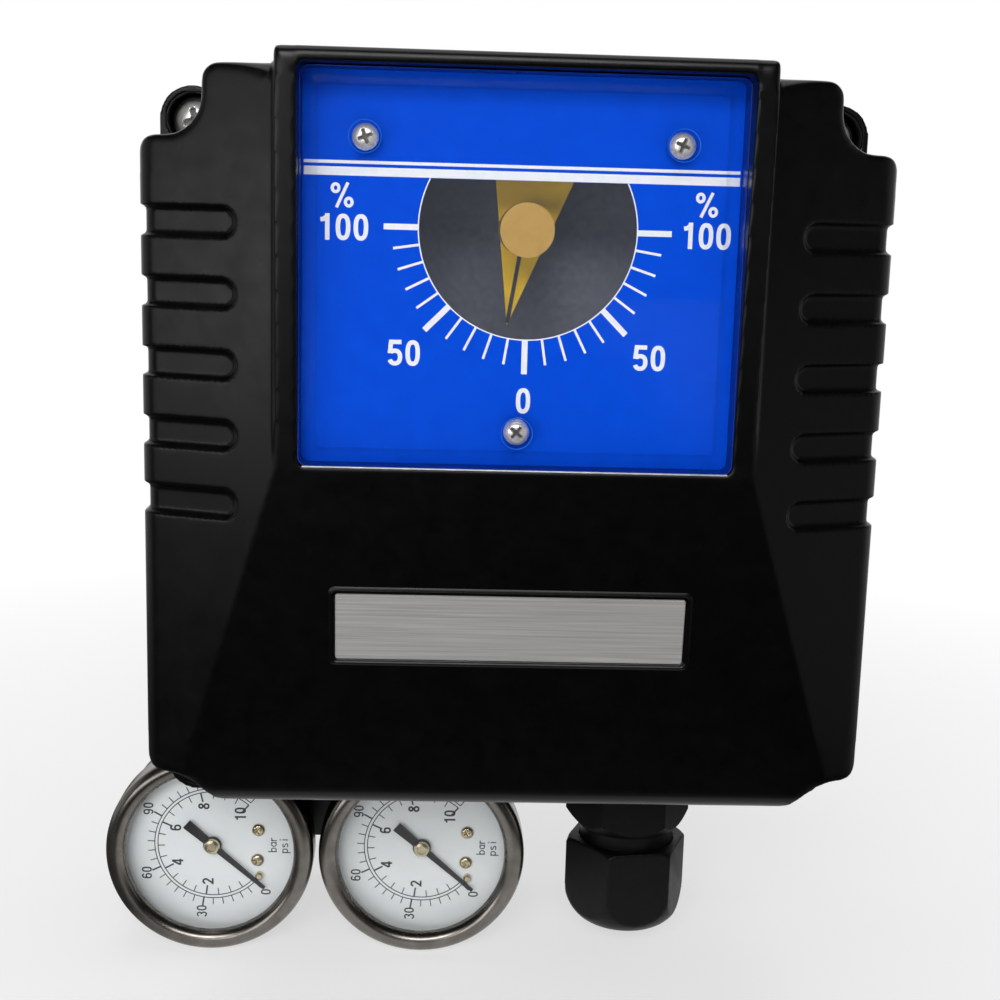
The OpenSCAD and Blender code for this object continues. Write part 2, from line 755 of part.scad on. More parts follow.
module pointer_cap() color("#c79a45")
    rod([0, 0], [pointer_z + pointer_t, cap_front], pointer_cap_d / 2);

module bearing_plate() color("#3c4046") translate([0, 0, plate_z]) linear_extrude(bearing_plate_t) difference() {
    translate([0, (plate_post_y[0] + plate_post_y[1]) / 2])
        rounded_rect(2 * plate_post_x + 10, plate_post_y[0] - plate_post_y[1] + 10, 4);
    circle(neck_r + 2 + seat);
    for (p = plate_posts) translate(p) circle(1.7);
}

module bearing_plate_screws() color("silver") for (p = plate_posts)
    translate([p[0], p[1], plate_z + bearing_plate_t]) pan_screw(3, 8, 2.8, 2);

// Feedback lever

module span_lever() color("#b4b7ba") {
    difference() {
        translate([0, 0, lever_z]) linear_extrude(lever_t) {
            translate(pivot) circle(lever_w / 2);
            translate([-spring_reach, -roller_reach]) circle(lever_w / 2);
            translate([-spring_reach, -roller_reach - lever_w / 2]) square([spring_reach + lever_len, lever_w]);
        }
        rod(pivot, [lever_z - 1, lever_z + lever_t + 1], pivot_r + run);
    }
    rod([0, -roller_reach], [lever_z + lever_t, cam_z + roller_t], roller_pin_r);
    rod([0, -roller_reach], [lever_z + lever_t, cam_z - gap], roller_pin_r + 1);
}

module lever_clip() color("#55585c")
    tube(pivot, [lever_z + lever_t + gap, lever_z + lever_t + gap + clip_t], pivot_r + 2, pivot_r + seat);

module cam_roller() color("#d0d3d6")
    tube([0, -roller_reach], [cam_z, cam_z + roller_t], roller_r, roller_pin_r + run);

module feedback_spring() color("#8a8d90") {
    top = -roller_reach - lever_w / 2 - spring_play;
    downward([-spring_reach, top, lever_z + lever_t / 2])
        coil_spring(feedback_spring_r, spring_wire, top - beam_y - beam_t / 2, 9);
}

// Torque motor

module motor_base() color("#a7aaad") difference() {
    union() {
        block(base_x, base_y, [base_z, base_top]);
        block([coil_x[0] + 2, coil_x[1] - 2], [beam_y - 8, beam_y + 8], [base_top, beam_z - coil_half]);
        block([magnet_x[1], magnet_x[1] + yoke_t], [beam_y - 8, beam_y + 8], [base_top, beam_z - magnet_h]);
    }
    for (p = base_posts) rod(p, [base_z - 1, base_top + 1], 1.6);
}

// The coil's winding window, as a block along x that is wider by grow
module coil_core(x, grow) {
    block(x, [beam_y - coil_inner[0] - grow, beam_y + coil_inner[0] + grow],
        [beam_z - coil_inner[1] - grow, beam_z + coil_inner[1] + grow]);
}

coil_tube_t = 1;
module coil_bobbin() color("#e4dcc8") difference() {
    union() {
        coil_core(coil_x, coil_tube_t);
        for (x = [coil_x[0], coil_x[1] - coil_flange_t])
            block([x, x + coil_flange_t], [beam_y - coil_half, beam_y + coil_half],
                [beam_z - coil_half, beam_z + coil_half]);
    }
    coil_core([coil_x[0] - 1, coil_x[1] + 1], 0);
}

module coil_winding() color("#8a4a22") difference() {
    x = [coil_x[0] + coil_flange_t, coil_x[1] - coil_flange_t];
    translate([x[0], beam_y, beam_z]) rotate([90, 0, 90]) linear_extrude(x[1] - x[0])
        rounded_rect(2 * coil_half - 2, 2 * coil_half - 2, 4);
    coil_core([x[0] - 1, x[1] + 1], coil_tube_t);
}

module magnets() color("#4a4d52") for (sy = [-1, 1]) {
    y = beam_y + sy * (magnet_gap + magnet_h / 2);
    block(magnet_x, [y - magnet_h / 2, y + magnet_h / 2], [beam_z - magnet_h, beam_z + magnet_h]);
}

module magnet_yoke() color("#6d7176") {
    reach = magnet_gap + magnet_h;
    block([magnet_x[1], magnet_x[1] + yoke_t], [beam_y - reach, beam_y + reach],
        [beam_z - magnet_h, beam_z + magnet_h]);
}

beam_bracket_w = 8;
beam_ear_t = 4;
beam_ear_gap = 1;
module beam_bracket() color("#b4b7ba") difference() {
    x = [beam_pivot_x - beam_bracket_w / 2, beam_pivot_x + beam_bracket_w / 2];
    rear_ear = beam_z - beam_w / 2 - beam_ear_gap;
    front_ear = beam_z + beam_w / 2 + beam_ear_gap;
    y = [beam_y - beam_t / 2 - 8, beam_y + 4];
    union() {
        block(x, y, [base_top, rear_ear]);
        block(x, [y[0], y[0] + 5], [base_top, front_ear + beam_ear_t]);
        block(x, y, [front_ear, front_ear + beam_ear_t]);
        rod([beam_pivot_x, beam_y], [rear_ear - 1, front_ear + 1], beam_pin_r);
    }
}

module flapper_beam() color("#7f8387") difference() {
    block([beam_left, beam_right], [beam_y - beam_t / 2, beam_y + beam_t / 2],
        [beam_z - beam_w / 2, beam_z + beam_w / 2]);
    rod([beam_pivot_x, beam_y], [beam_z - beam_w, beam_z + beam_w], beam_pin_r + run);
}

// Nozzle and zero adjuster

module nozzle() color("#c2a24a") {
    tip_y = beam_y - beam_t / 2 - nozzle_gap;
    difference() {
        downward([nozzle_x, tip_y, beam_z]) {
            cylinder(h = 4, r1 = 1.4, r2 = 3);
            translate([0, 0, 4]) cylinder(h = tip_y - 4 - nozzle_block_y[1], r = 3);
        }
        downward([nozzle_x, tip_y + 1, beam_z]) cylinder(h = tip_y + 2 - nozzle_block_y[1], r = 0.5);
    }
}

module nozzle_block() color("#a7aaad") difference() {
    block(nozzle_block_x, nozzle_block_y, nozzle_block_z);
    downward([nozzle_x, nozzle_block_y[1] + 1, beam_z])
        cylinder(h = nozzle_block_y[1] - nozzle_block_y[0], r = 0.5);
}

module zero_bracket() color("#b4b7ba") {
    x = [zero_x - 6, zero_x + 6];
    leg_t = 2.5;
    block(x, [zero_shelf_y - zero_shelf_t, base_y[0] + 8], [base_top, base_top + leg_t]);
    block(x, [zero_shelf_y - zero_shelf_t, zero_shelf_y], [base_top, beam_z + 8]);
    downward([zero_x, zero_shelf_y + zero_wheel_h, beam_z]) cylinder(h = zero_wheel_h + 1, r = zero_stud_r);
}

module zero_wheel() color("#c2a24a") difference() {
    top = zero_shelf_y + rest_gap + zero_wheel_h;
    downward([zero_x, top, beam_z]) cylinder(h = zero_wheel_h, r = zero_wheel_r);
    downward([zero_x, top + 1, beam_z]) cylinder(h = zero_wheel_h + 2, r = zero_stud_r + run);
    for (k = [0:23]) downward([zero_x, top + 1, beam_z]) rotate(k * 15)
        translate([zero_wheel_r + 0.3, 0, 0]) cylinder(h = zero_wheel_h + 2, r = 0.7, $fn = 16);
}

module zero_spring() color("#8a8d90") {
    top = beam_y - beam_t / 2;
    low = zero_shelf_y + rest_gap + zero_wheel_h + spring_play;
    downward([zero_x, top, beam_z]) coil_spring(zero_spring_r, spring_wire, top - low, 7);
}

// Pilot valve

module pilot_block() color("#9b9ea2") difference() {
    block(pilot_x, pilot_y, [rear_wall, pilot_top]);
    translate([pilot_x[0] - 1, spool_y, spool_z]) rotate([0, 90, 0])
        cylinder(h = pilot_x[1] - pilot_x[0] + 2, r = spool_r + run);
    rod(am_at, [pilot_top - am_depth, pilot_top + 1], am_r + run);
    for (x = pilot_x, sy = [-1, 1])
        translate([x - 6, spool_y + sy * pilot_screw_reach, spool_z]) rotate([0, 90, 0]) cylinder(h = 12, r = pilot_screw_r + seat);
}

module pilot_gasket() color("#2b2b2b") block(pilot_x, [bottom_in, pilot_y[0]], [rear_wall, pilot_top]);

module pilot_caps() color("#7f8387") for (side = [0, 1]) difference() {
    x = side == 0 ? pilot_x[0] - pilot_cap_t : pilot_x[1];
    translate([x, spool_y, spool_z]) rotate([0, 90, 0]) linear_extrude(pilot_cap_t) rounded_rect(16, 20, 3);
    for (sy = [-1, 1]) translate([x - 1, spool_y + sy * pilot_screw_reach, spool_z]) rotate([0, 90, 0])
        cylinder(h = pilot_cap_t + 2, r = pilot_screw_r + seat);
}

module pilot_screws() color("silver") for (side = [-1, 1], sy = [-1, 1]) {
    x = side < 0 ? pilot_x[0] - pilot_cap_t : pilot_x[1] + pilot_cap_t;
    translate([x, spool_y + sy * pilot_screw_reach, spool_z]) rotate([0, side * 90, 0])
        pan_screw(2 * pilot_screw_r, pilot_cap_t + 5, 2.2, 1.6);
}

module pilot_spool() color("#c9ccd0") {
    x = pilot_x[0] + 3;
    land = spool_len / 5;
    for (k = [0:2:4]) translate([x + k * land, spool_y, spool_z]) rotate([0, 90, 0]) cylinder(h = land, r = spool_r);
    translate([x, spool_y, spool_z]) rotate([0, 90, 0]) cylinder(h = spool_len, r = spool_r - 1.5);
}

module auto_manual_screw() color("#c2a24a") difference() {
    union() {
        rod(am_at, [pilot_top - am_depth + rest_gap, pilot_top + 1.5], am_r);
        rod(am_at, [pilot_top + rest_gap, pilot_top + 2.5], am_r + 1.5);
    }
    translate([am_at[0] - 6, am_at[1] - 0.5, pilot_top + 1.3]) cube([12, 1, 2]);
}

// Terminals

terminal_pitch = (terminal_y[1] - terminal_y[0]) / terminal_count;
terminal_ys = [for (k = [0:terminal_count - 1]) terminal_y[0] + (k + 0.5) * terminal_pitch];

module terminal_block() color("#2f6b46") difference() {
    block(terminal_x, terminal_y, [rear_wall, rear_wall + terminal_h]);
    for (y = terminal_ys) {
        rod([terminal_x[0] + terminal_screw_in, y], [rear_wall + terminal_seat, rear_wall + terminal_h + 1], 2.6);
        translate([terminal_x[0] - 1, y - 2.5, rear_wall + 3]) cube([8, 5, 4.5]);
    }
}

module terminal_screws() color("silver") for (y = terminal_ys)
    translate([terminal_x[0] + terminal_screw_in, y, rear_wall + terminal_seat + 5]) pan_screw(3, 5, 2.4, 1.8);

module ground_screw() color("#6aa06a") translate([ground_at[0], ground_at[1], rear_wall]) pan_screw(4, 2.8, 3.6, 2.6);

// Manifold

module manifold() color("#17181a") difference() {
    block(manifold_x, manifold_y, [0, manifold_depth]);
    for (x = gauge_xs) rod([x, gauge_y], [manifold_depth - stem_len - 0.4, manifold_depth + 1], stem_r + seat);
    for (x = port_xs) downward([x, manifold_y[0] + port_depth, port_z]) cylinder(h = port_depth + 1, r = port_d / 2);
    translate([manifold_x[0] - 1, supply_y, port_z]) rotate([0, 90, 0]) cylinder(h = port_depth + 1, r = port_d / 2);
    for (x = manifold_screw_xs) {
        downward([x, manifold_y[1] + 1, manifold_screw_z])
            cylinder(h = manifold_y[1] - manifold_y[0] + 2, r = manifold_screw_r + 0.25);
        downward([x, manifold_y[0] + 6, manifold_screw_z]) cylinder(h = 7, r = manifold_head_r + 0.3);
    }
}

module manifold_gasket() color("#2b2b2b") difference() {
    block(manifold_x, [manifold_y[1], bot_y], [0, manifold_depth]);
    for (x = manifold_screw_xs) downward([x, bot_y + 1, manifold_screw_z])
        cylinder(h = manifold_gasket_t + 2, r = manifold_screw_r + 0.25);
}

module manifold_screws() color("#8a8d90") for (x = manifold_screw_xs) {
    head_y = manifold_y[0] + 6;
    difference() {
        union() {
            downward([x, head_y, manifold_screw_z]) cylinder(h = 4, r = manifold_head_r);
            downward([x, bottom_in, manifold_screw_z]) cylinder(h = bottom_in - head_y, r = manifold_screw_r);
        }
        downward([x, head_y - 2, manifold_screw_z]) cylinder(h = 3, r = 1.8, $fn = 6);
    }
}

// Gauges, each drawn about its own axis

module gauge_case() color("#3a3c3f") {
    back = gauge_case_z;
    rotate_extrude() polygon([[0, back], [gauge_case_r - 1, back], [gauge_case_r, back + 1],
        [gauge_case_r, gauge_front - bezel_h], [gauge_case_r, lens_z], [gauge_case_r - 1, lens_z],
        [gauge_case_r - 1, gauge_dial_z], [gauge_case_r - 3, gauge_dial_z], [gauge_case_r - 3, back + 2], [0, back + 2]]);
    translate([0, 0, manifold_depth]) cylinder(h = back - manifold_depth, r = stem_af / sqrt(3), $fn = 6);
    translate([0, 0, manifold_depth - stem_len]) cylinder(h = stem_len, r = stem_r);
    translate([0, 0, back + 2 + 6]) rotate(40) rotate_extrude(angle = 250)
        translate([gauge_case_r - 7, 0]) square([1.6, 6], center = true);
    translate([-1, -gauge_case_r + 4, back + 2]) cube([3, 10, 9]);
}

module gauge_bezel() color("#b5b8bb") {
    inner = gauge_r - bezel_w;
    rotate_extrude() polygon(concat(
        [[gauge_case_r + seat, gauge_front - bezel_h], [gauge_r, gauge_front - bezel_h]],
        [for (k = [0:10]) [gauge_r - bezel_w / 2 + bezel_w / 2 * cos(k * 18),
            gauge_front - bezel_w / 2 + bezel_w / 2 * sin(k * 18)]],
        [[inner, lens_z + lens_t], [gauge_case_r + seat, lens_z + lens_t]]));
}

module gauge_lens() color("#e8f1f5") translate([0, 0, lens_z]) cylinder(h = lens_t, r = gauge_case_r);

module gauge_dial() color("#f3f5f5") translate([0, 0, gauge_dial_z]) linear_extrude(dial_t) difference() {
    circle(gauge_case_r - 1 - seat);
    circle(arbor_r + run);
}

module gauge_needle() color("#151515") {
    translate([0, 0, needle_z]) rotate(-needle_rest) linear_extrude(needle_t) {
        polygon([[-0.35, needle_len], [0.35, needle_len], [0.7, 0], [-0.7, 0]]);
        polygon([[-1.1, -needle_tail], [1.1, -needle_tail], [0.8, 0], [-0.8, 0]]);
        circle(2);
    }
    rod([0, 0], [gauge_dial_z - 3, needle_z], arbor_r);
    translate([0, 0, needle_z + needle_t]) cylinder(h = 0.7, r1 = 1.5, r2 = 1.1);
}

module at_gauge(k) {
    translate([gauge_xs[k], gauge_y, 0]) children();
}

// Cable gland, drawn down its own axis

module at_gland(y) {
    downward([gland_x, y, gland_z]) children();
}

module gland_body() color("#111213") {
    stem = conduit_boss_len + wall;
    neck_end = gland_flange_h + gland_neck_len;
    at_gland(gland_top) difference() {
        union() {
            translate([0, 0, -stem]) cylinder(h = stem, r = conduit_d / 2);
            intersection() {
                cylinder(h = gland_flange_h, r = gland_corner_r, $fn = 6);
                rotate_extrude() polygon([[0, 0], [gland_corner_r, 0], [gland_corner_r, gland_flange_h - 3],
                    [gland_corner_r - 2.8, gland_flange_h], [0, gland_flange_h]]);
            }
            translate([0, 0, gland_flange_h]) cylinder(h = gland_neck_len, r = gland_neck_r);
        }
        translate([0, 0, -stem - 1]) cylinder(h = stem + neck_end + 2, r = cable_d / 2);
    }
}

gland_dome_h = 9;
module gland_nut() color("#131415") at_gland(gland_nut_top) difference() {
    intersection() {
        rotate(gland_turn) cylinder(h = gland_nut_len, r = gland_corner_r, $fn = 6);
        rotate_extrude() polygon(concat([[0, 0], [gland_corner_r - 1, 0], [gland_corner_r, 1]],
            [for (k = [0:9]) [gland_mouth_r + 1 + (gland_corner_r - gland_mouth_r - 1) * cos(k * 10),
                gland_nut_len - gland_dome_h + gland_dome_h * sin(k * 10)]], [[0, gland_nut_len]]));
    }
    translate([0, 0, -1]) cylinder(h = gland_neck_len - gland_gap + 1.4, r = gland_neck_r + seat);
    translate([0, 0, -1]) cylinder(h = gland_nut_len + 2, r = gland_mouth_r);
}

upright() body();
upright() cover();
upright() cover_gasket();
upright() cover_screws();
upright() window();
upright() window_gasket();
upright() scale_film();
upright() window_screws();
upright() name_plate();
upright() main_shaft();
upright() rear_bush();
upright() shaft_seal();
upright() front_bush();
upright() shaft_clip();
upright() feedback_cam();
upright() cam_nut();
upright() pointer();
upright() pointer_cap();
upright() bearing_plate();
upright() bearing_plate_screws();
upright() span_lever();
upright() lever_clip();
upright() cam_roller();
upright() feedback_spring();
upright() motor_base();
upright() coil_bobbin();
upright() coil_winding();
upright() magnets();
upright() magnet_yoke();
upright() beam_bracket();
upright() flapper_beam();
upright() nozzle();
upright() nozzle_block();
upright() zero_bracket();
upright() zero_wheel();
upright() zero_spring();
upright() pilot_block();
upright() pilot_gasket();
upright() pilot_caps();
upright() pilot_screws();
upright() pilot_spool();
upright() auto_manual_screw();
upright() terminal_block();
upright() terminal_screws();
upright() ground_screw();
upright() manifold();
upright() manifold_gasket();
upright() manifold_screws();
upright() at_gauge(0) gauge_case();  // left_gauge_case
upright() at_gauge(0) gauge_bezel();  // left_gauge_bezel
upright() at_gauge(0) gauge_lens();  // left_gauge_lens
upright() at_gauge(0) gauge_dial();  // left_gauge_dial
upright() at_gauge(0) gauge_needle();  // left_gauge_needle
upright() at_gauge(1) gauge_case();  // right_gauge_case
upright() at_gauge(1) gauge_bezel();  // right_gauge_bezel
upright() at_gauge(1) gauge_lens();  // right_gauge_lens
upright() at_gauge(1) gauge_dial();  // right_gauge_dial
upright() at_gauge(1) gauge_needle();  // right_gauge_needle
upright() gland_body();
upright() gland_nut();
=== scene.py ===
"""Looks of the valve positioner: materials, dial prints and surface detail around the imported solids."""
import json
import math

import bmesh
import bpy
import numpy as np
from mathutils import Matrix, Vector


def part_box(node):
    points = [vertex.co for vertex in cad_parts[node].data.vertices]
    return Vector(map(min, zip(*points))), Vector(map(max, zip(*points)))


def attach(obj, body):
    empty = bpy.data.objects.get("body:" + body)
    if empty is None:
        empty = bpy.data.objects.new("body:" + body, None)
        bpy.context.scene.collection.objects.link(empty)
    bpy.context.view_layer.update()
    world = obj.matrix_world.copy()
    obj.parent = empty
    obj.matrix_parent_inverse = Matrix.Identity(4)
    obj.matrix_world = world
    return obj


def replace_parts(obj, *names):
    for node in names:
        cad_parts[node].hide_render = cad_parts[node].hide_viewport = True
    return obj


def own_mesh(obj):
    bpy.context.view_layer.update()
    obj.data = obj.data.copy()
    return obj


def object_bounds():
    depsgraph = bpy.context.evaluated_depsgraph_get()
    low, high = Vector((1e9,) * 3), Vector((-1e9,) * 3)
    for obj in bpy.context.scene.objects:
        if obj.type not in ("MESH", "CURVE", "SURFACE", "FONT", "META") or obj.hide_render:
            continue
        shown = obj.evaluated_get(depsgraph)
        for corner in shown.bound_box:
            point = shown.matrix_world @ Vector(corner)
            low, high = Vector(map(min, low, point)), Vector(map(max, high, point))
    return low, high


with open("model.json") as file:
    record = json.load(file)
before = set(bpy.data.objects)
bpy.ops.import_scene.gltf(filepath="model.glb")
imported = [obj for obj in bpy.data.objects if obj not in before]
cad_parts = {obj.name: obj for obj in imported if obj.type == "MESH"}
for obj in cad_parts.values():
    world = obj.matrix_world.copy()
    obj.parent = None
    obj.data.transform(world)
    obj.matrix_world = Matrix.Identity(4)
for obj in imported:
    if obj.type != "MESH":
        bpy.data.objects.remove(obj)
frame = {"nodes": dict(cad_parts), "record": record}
nodes = frame["nodes"]
cad_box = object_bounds()
scene = bpy.context.scene
MM = 0.001


# Materials

def add(tree, kind, links=(), **values):
    """A new node; links are (its input, another node's output), values set its inputs or properties."""
    made = tree.nodes.new(kind)
    for key, value in values.items():
        if key in made.inputs:
            made.inputs[key].default_value = value
        else:
            setattr(made, key, value)
    for name, output in links:
        tree.links.new(output, made.inputs[name])
    return made


def shade(c):
    return (*c, 1.0)


def coordinates(tree, stretch):
    where = add(tree, "ShaderNodeTexCoord").outputs["Object"]
    return add(tree, "ShaderNodeMapping", [("Vector", where)], Scale=stretch).outputs["Vector"]


def noise(tree, vector, scale, detail=3.0, rough=0.55):
    made = add(tree, "ShaderNodeTexNoise", [("Vector", vector)], Scale=scale, Detail=detail, Roughness=rough)
    return made.outputs["Fac"]


GRAIN_LOW, GRAIN_HIGH = 0.3, 0.7


def spread(tree, fac, low, high, start=GRAIN_LOW, end=GRAIN_HIGH):
    """Carries fac from start..end over to low..high."""
    made = add(tree, "ShaderNodeMapRange", [("Value", fac)])
    for name, value in (("From Min", start), ("From Max", end), ("To Min", low), ("To Max", high)):
        made.inputs[name].default_value = value
    return made.outputs["Result"]


def tint(tree, fac, dark, light):
    made = add(tree, "ShaderNodeValToRGB", [("Fac", fac)])
    ramp = made.color_ramp
    ramp.elements[0].position, ramp.elements[0].color = GRAIN_LOW, shade(dark)
    ramp.elements[1].position, ramp.elements[1].color = GRAIN_HIGH, shade(light)
    return made.outputs["Color"]


WEAR_SHARE = 0.23
NO_BUMP = (0.0, 1.0, 0.0)


def material(name, dark, light, rough, metal=0.0, grain=300.0, bump=(0.1, 1500.0, 0.02),
             stretch=(1, 1, 1), **sockets):
    """A procedural finish. dark and light are the two tones of its grain, rough its roughness range,
    bump (strength, grains per metre, depth in mm), stretch the grain's direction."""
    made = bpy.data.materials.new(name)
    made.use_nodes = True
    tree = made.node_tree
    surface = tree.nodes["Principled BSDF"]
    vector = coordinates(tree, stretch)
    tone = noise(tree, vector, grain)
    wear = noise(tree, vector, grain * WEAR_SHARE, 5.0, 0.65)
    tree.links.new(tint(tree, tone, dark, light), surface.inputs["Base Color"])
    tree.links.new(spread(tree, wear, *rough), surface.inputs["Roughness"])
    surface.inputs["Metallic"].default_value = metal
    strength, density, depth = bump
    if strength:
        raised = add(tree, "ShaderNodeBump", [("Height", noise(tree, vector, density, 2.0))],
                     Strength=strength, Distance=depth * MM)
        tree.links.new(raised.outputs["Normal"], surface.inputs["Normal"])
    for key, value in sockets.items():
        surface.inputs[key.replace("_", " ")].default_value = value
    return made


# Above a real pane's, because a low alpha weakens the gloss too
PANE_IOR = 3.0


def clear(name, dark, light, alpha, rough):
    """A clear pane that shows its gloss and lets the print behind it through."""
    return material(name, dark, light, rough, grain=60.0, bump=NO_BUMP, Alpha=alpha, IOR=PANE_IOR)


COAT = material("coat_black", (0.0005, 0.0007, 0.0007), (0.0011, 0.0013, 0.0012), (0.27, 0.35),
                grain=900.0, bump=(0.16, 2400.0, 0.03), Specular_IOR_Level=0.25)
RUBBER = material("rubber_black", (0.012, 0.012, 0.012), (0.022, 0.022, 0.022), (0.7, 0.85),
                  bump=(0.2, 1800.0, 0.03))
STEEL = material("steel_plated", (0.70, 0.69, 0.67), (0.82, 0.81, 0.79), (0.22, 0.34), 0.6,
                 grain=900.0, bump=(0.08, 3000.0, 0.01))
DARK_STEEL = material("steel_ground", (0.38, 0.39, 0.41), (0.52, 0.53, 0.55), (0.25, 0.4), 1.0,
                      grain=500.0, bump=(0.1, 2500.0, 0.01), stretch=(1, 0.1, 1))
# Dark bars set in the screws' cross recesses: painted shade
RECESS_SHADE = material("recess_painted_shade", (0.07, 0.068, 0.062), (0.13, 0.125, 0.115), (0.3, 0.45), 0.5, grain=1500.0)
ACRYLIC = clear("acrylic_clear", (0.0, 0.004, 0.02), (0.0, 0.006, 0.03), 0.035, (0.02, 0.05))
# The pane's bevel, tinted deeper blue: painted shade of the band at the thick pane's edge
BEVEL_SHADE = material("acrylic_edge_painted_shade", (0.0, 0.030, 0.30), (0.0, 0.040, 0.36), (0.05, 0.10),
                 grain=60.0, bump=NO_BUMP, Alpha=0.06, IOR=1.45, Specular_IOR_Level=0.2)
# Pale veil over the clear part: painted reflection, lightening the shade of the deep recess
HAZE_REFLECTION = material("film_painted_haze_reflection", (0.40, 0.45, 0.56), (0.46, 0.51, 0.62), (0.35, 0.50),
                grain=160.0, bump=NO_BUMP, Alpha=0.035, IOR=1.45)
GAUGE_GLASS = clear("gauge_clear", (0.01, 0.011, 0.012), (0.02, 0.021, 0.022), 0.05, (0.02, 0.05))
BLUE = material("print_blue", (0.0003, 0.066, 0.66), (0.0006, 0.075, 0.71), (0.34, 0.42),
                grain=250.0, bump=(0.04, 1500.0, 0.01), Specular_IOR_Level=0.04)
# Dark navy band round the pane's edge: painted shade of the thick pane's edge
NAVY_EDGE_SHADE = material("pane_edge_painted_shade", (0.0005, 0.020, 0.22), (0.001, 0.026, 0.27), (0.25, 0.35), grain=250.0)
# Lighter blue rings at the screw holes' rims: painted highlight
RIM_HIGHLIGHT = material("pane_rim_painted_highlight", (0.004, 0.105, 0.66), (0.010, 0.13, 0.72), (0.2, 0.3), grain=400.0)
# A light strip along the pane's lower edge: painted highlight
LIP_HIGHLIGHT = material("lip_painted_highlight", (0.46, 0.47, 0.48), (0.66, 0.67, 0.68), (0.25, 0.4), 0.4,
               grain=900.0, stretch=(0.4, 1, 1))
WHITE = material("print_white", (0.80, 0.84, 0.92), (0.86, 0.89, 0.95), (0.4, 0.5),
                 grain=600.0, bump=(0.05, 2000.0, 0.01))
BRUSHED = material("plate_brushed", (0.38, 0.375, 0.365), (0.54, 0.535, 0.52), (0.28, 0.40), 0.45,
                   grain=3200.0, bump=(0.35, 4200.0, 0.012), stretch=(0.012, 1, 1))
BRONZE = material("bush_bronze", (0.42, 0.27, 0.10), (0.55, 0.37, 0.15), (0.3, 0.45), 1.0)
CAM_STEEL = material("cam_plated", (0.50, 0.44, 0.28), (0.62, 0.56, 0.38), (0.28, 0.42), 1.0)
YELLOW = material("pointer_yellow", (0.78, 0.48, 0.002), (0.90, 0.58, 0.004), (0.30, 0.40),
                  grain=400.0, bump=(0.05, 1500.0, 0.01), Specular_IOR_Level=0.15)
GOLD = material("cap_gold", (0.55, 0.320, 0.055), (0.63, 0.375, 0.072), (0.36, 0.50), 0.3,
                grain=700.0, bump=(0.12, 2500.0, 0.01))
INK = material("ink_black", (0.010, 0.010, 0.010), (0.018, 0.018, 0.018), (0.4, 0.55),
               bump=(0.05, 2000.0, 0.01))
PRINT = material("print_grey", (0.030, 0.032, 0.034), (0.050, 0.052, 0.055), (0.4, 0.55),
                 bump=(0.05, 2000.0, 0.01))
PLATE_GREY = material("plate_grey", (0.125, 0.137, 0.180), (0.168, 0.182, 0.230), (0.42, 0.58),
                      grain=700.0, bump=(0.2, 2400.0, 0.02))
ALLOY = material("alloy_machined", (0.50, 0.51, 0.52), (0.64, 0.65, 0.66), (0.28, 0.45), 1.0,
                 grain=800.0, bump=(0.15, 2400.0, 0.01), stretch=(0.08, 1, 1))
ANODISED = material("alloy_anodised", (0.34, 0.35, 0.37), (0.44, 0.45, 0.47), (0.35, 0.5), 1.0)
SPRING = material("spring_wire", (0.34, 0.35, 0.36), (0.46, 0.47, 0.48), (0.25, 0.4), 1.0)
BOBBIN = material("bobbin_moulded", (0.66, 0.60, 0.48), (0.74, 0.68, 0.56), (0.5, 0.6))
COPPER = material("coil_enamel", (0.30, 0.10, 0.03), (0.46, 0.18, 0.06), (0.22, 0.35), 0.8,
                  grain=900.0, bump=(0.5, 2600.0, 0.08), stretch=(1, 0.05, 0.05))
IRON = material("iron_plated", (0.16, 0.165, 0.18), (0.24, 0.245, 0.26), (0.4, 0.55), 1.0)
BRASS = material("brass_turned", (0.60, 0.44, 0.15), (0.72, 0.55, 0.22), (0.22, 0.36), 1.0)
GREEN = material("terminal_green", (0.02, 0.15, 0.05), (0.03, 0.19, 0.07), (0.4, 0.5))
CASE = material("case_black", (0.004, 0.004, 0.004), (0.008, 0.008, 0.008), (0.35, 0.5))
CHROME = material("bezel_dark", (0.15, 0.14, 0.125), (0.21, 0.195, 0.18), (0.20, 0.30), 1.0,
                  grain=300.0, bump=(0.04, 2500.0, 0.01))
PALE_GOLD = material("trim_gold", (0.55, 0.48, 0.32), (0.68, 0.60, 0.42), (0.2, 0.32), 1.0, grain=700.0)
DIAL = material("dial_white", (0.90, 0.95, 0.97), (0.94, 0.975, 0.985), (0.4, 0.5),
                grain=500.0, bump=(0.04, 2000.0, 0.01))
NYLON = material("gland_nylon", (0.0014, 0.0018, 0.0018), (0.003, 0.0034, 0.0034), (0.40, 0.52),
                 grain=700.0, bump=(0.15, 2600.0, 0.03), Specular_IOR_Level=0.14)

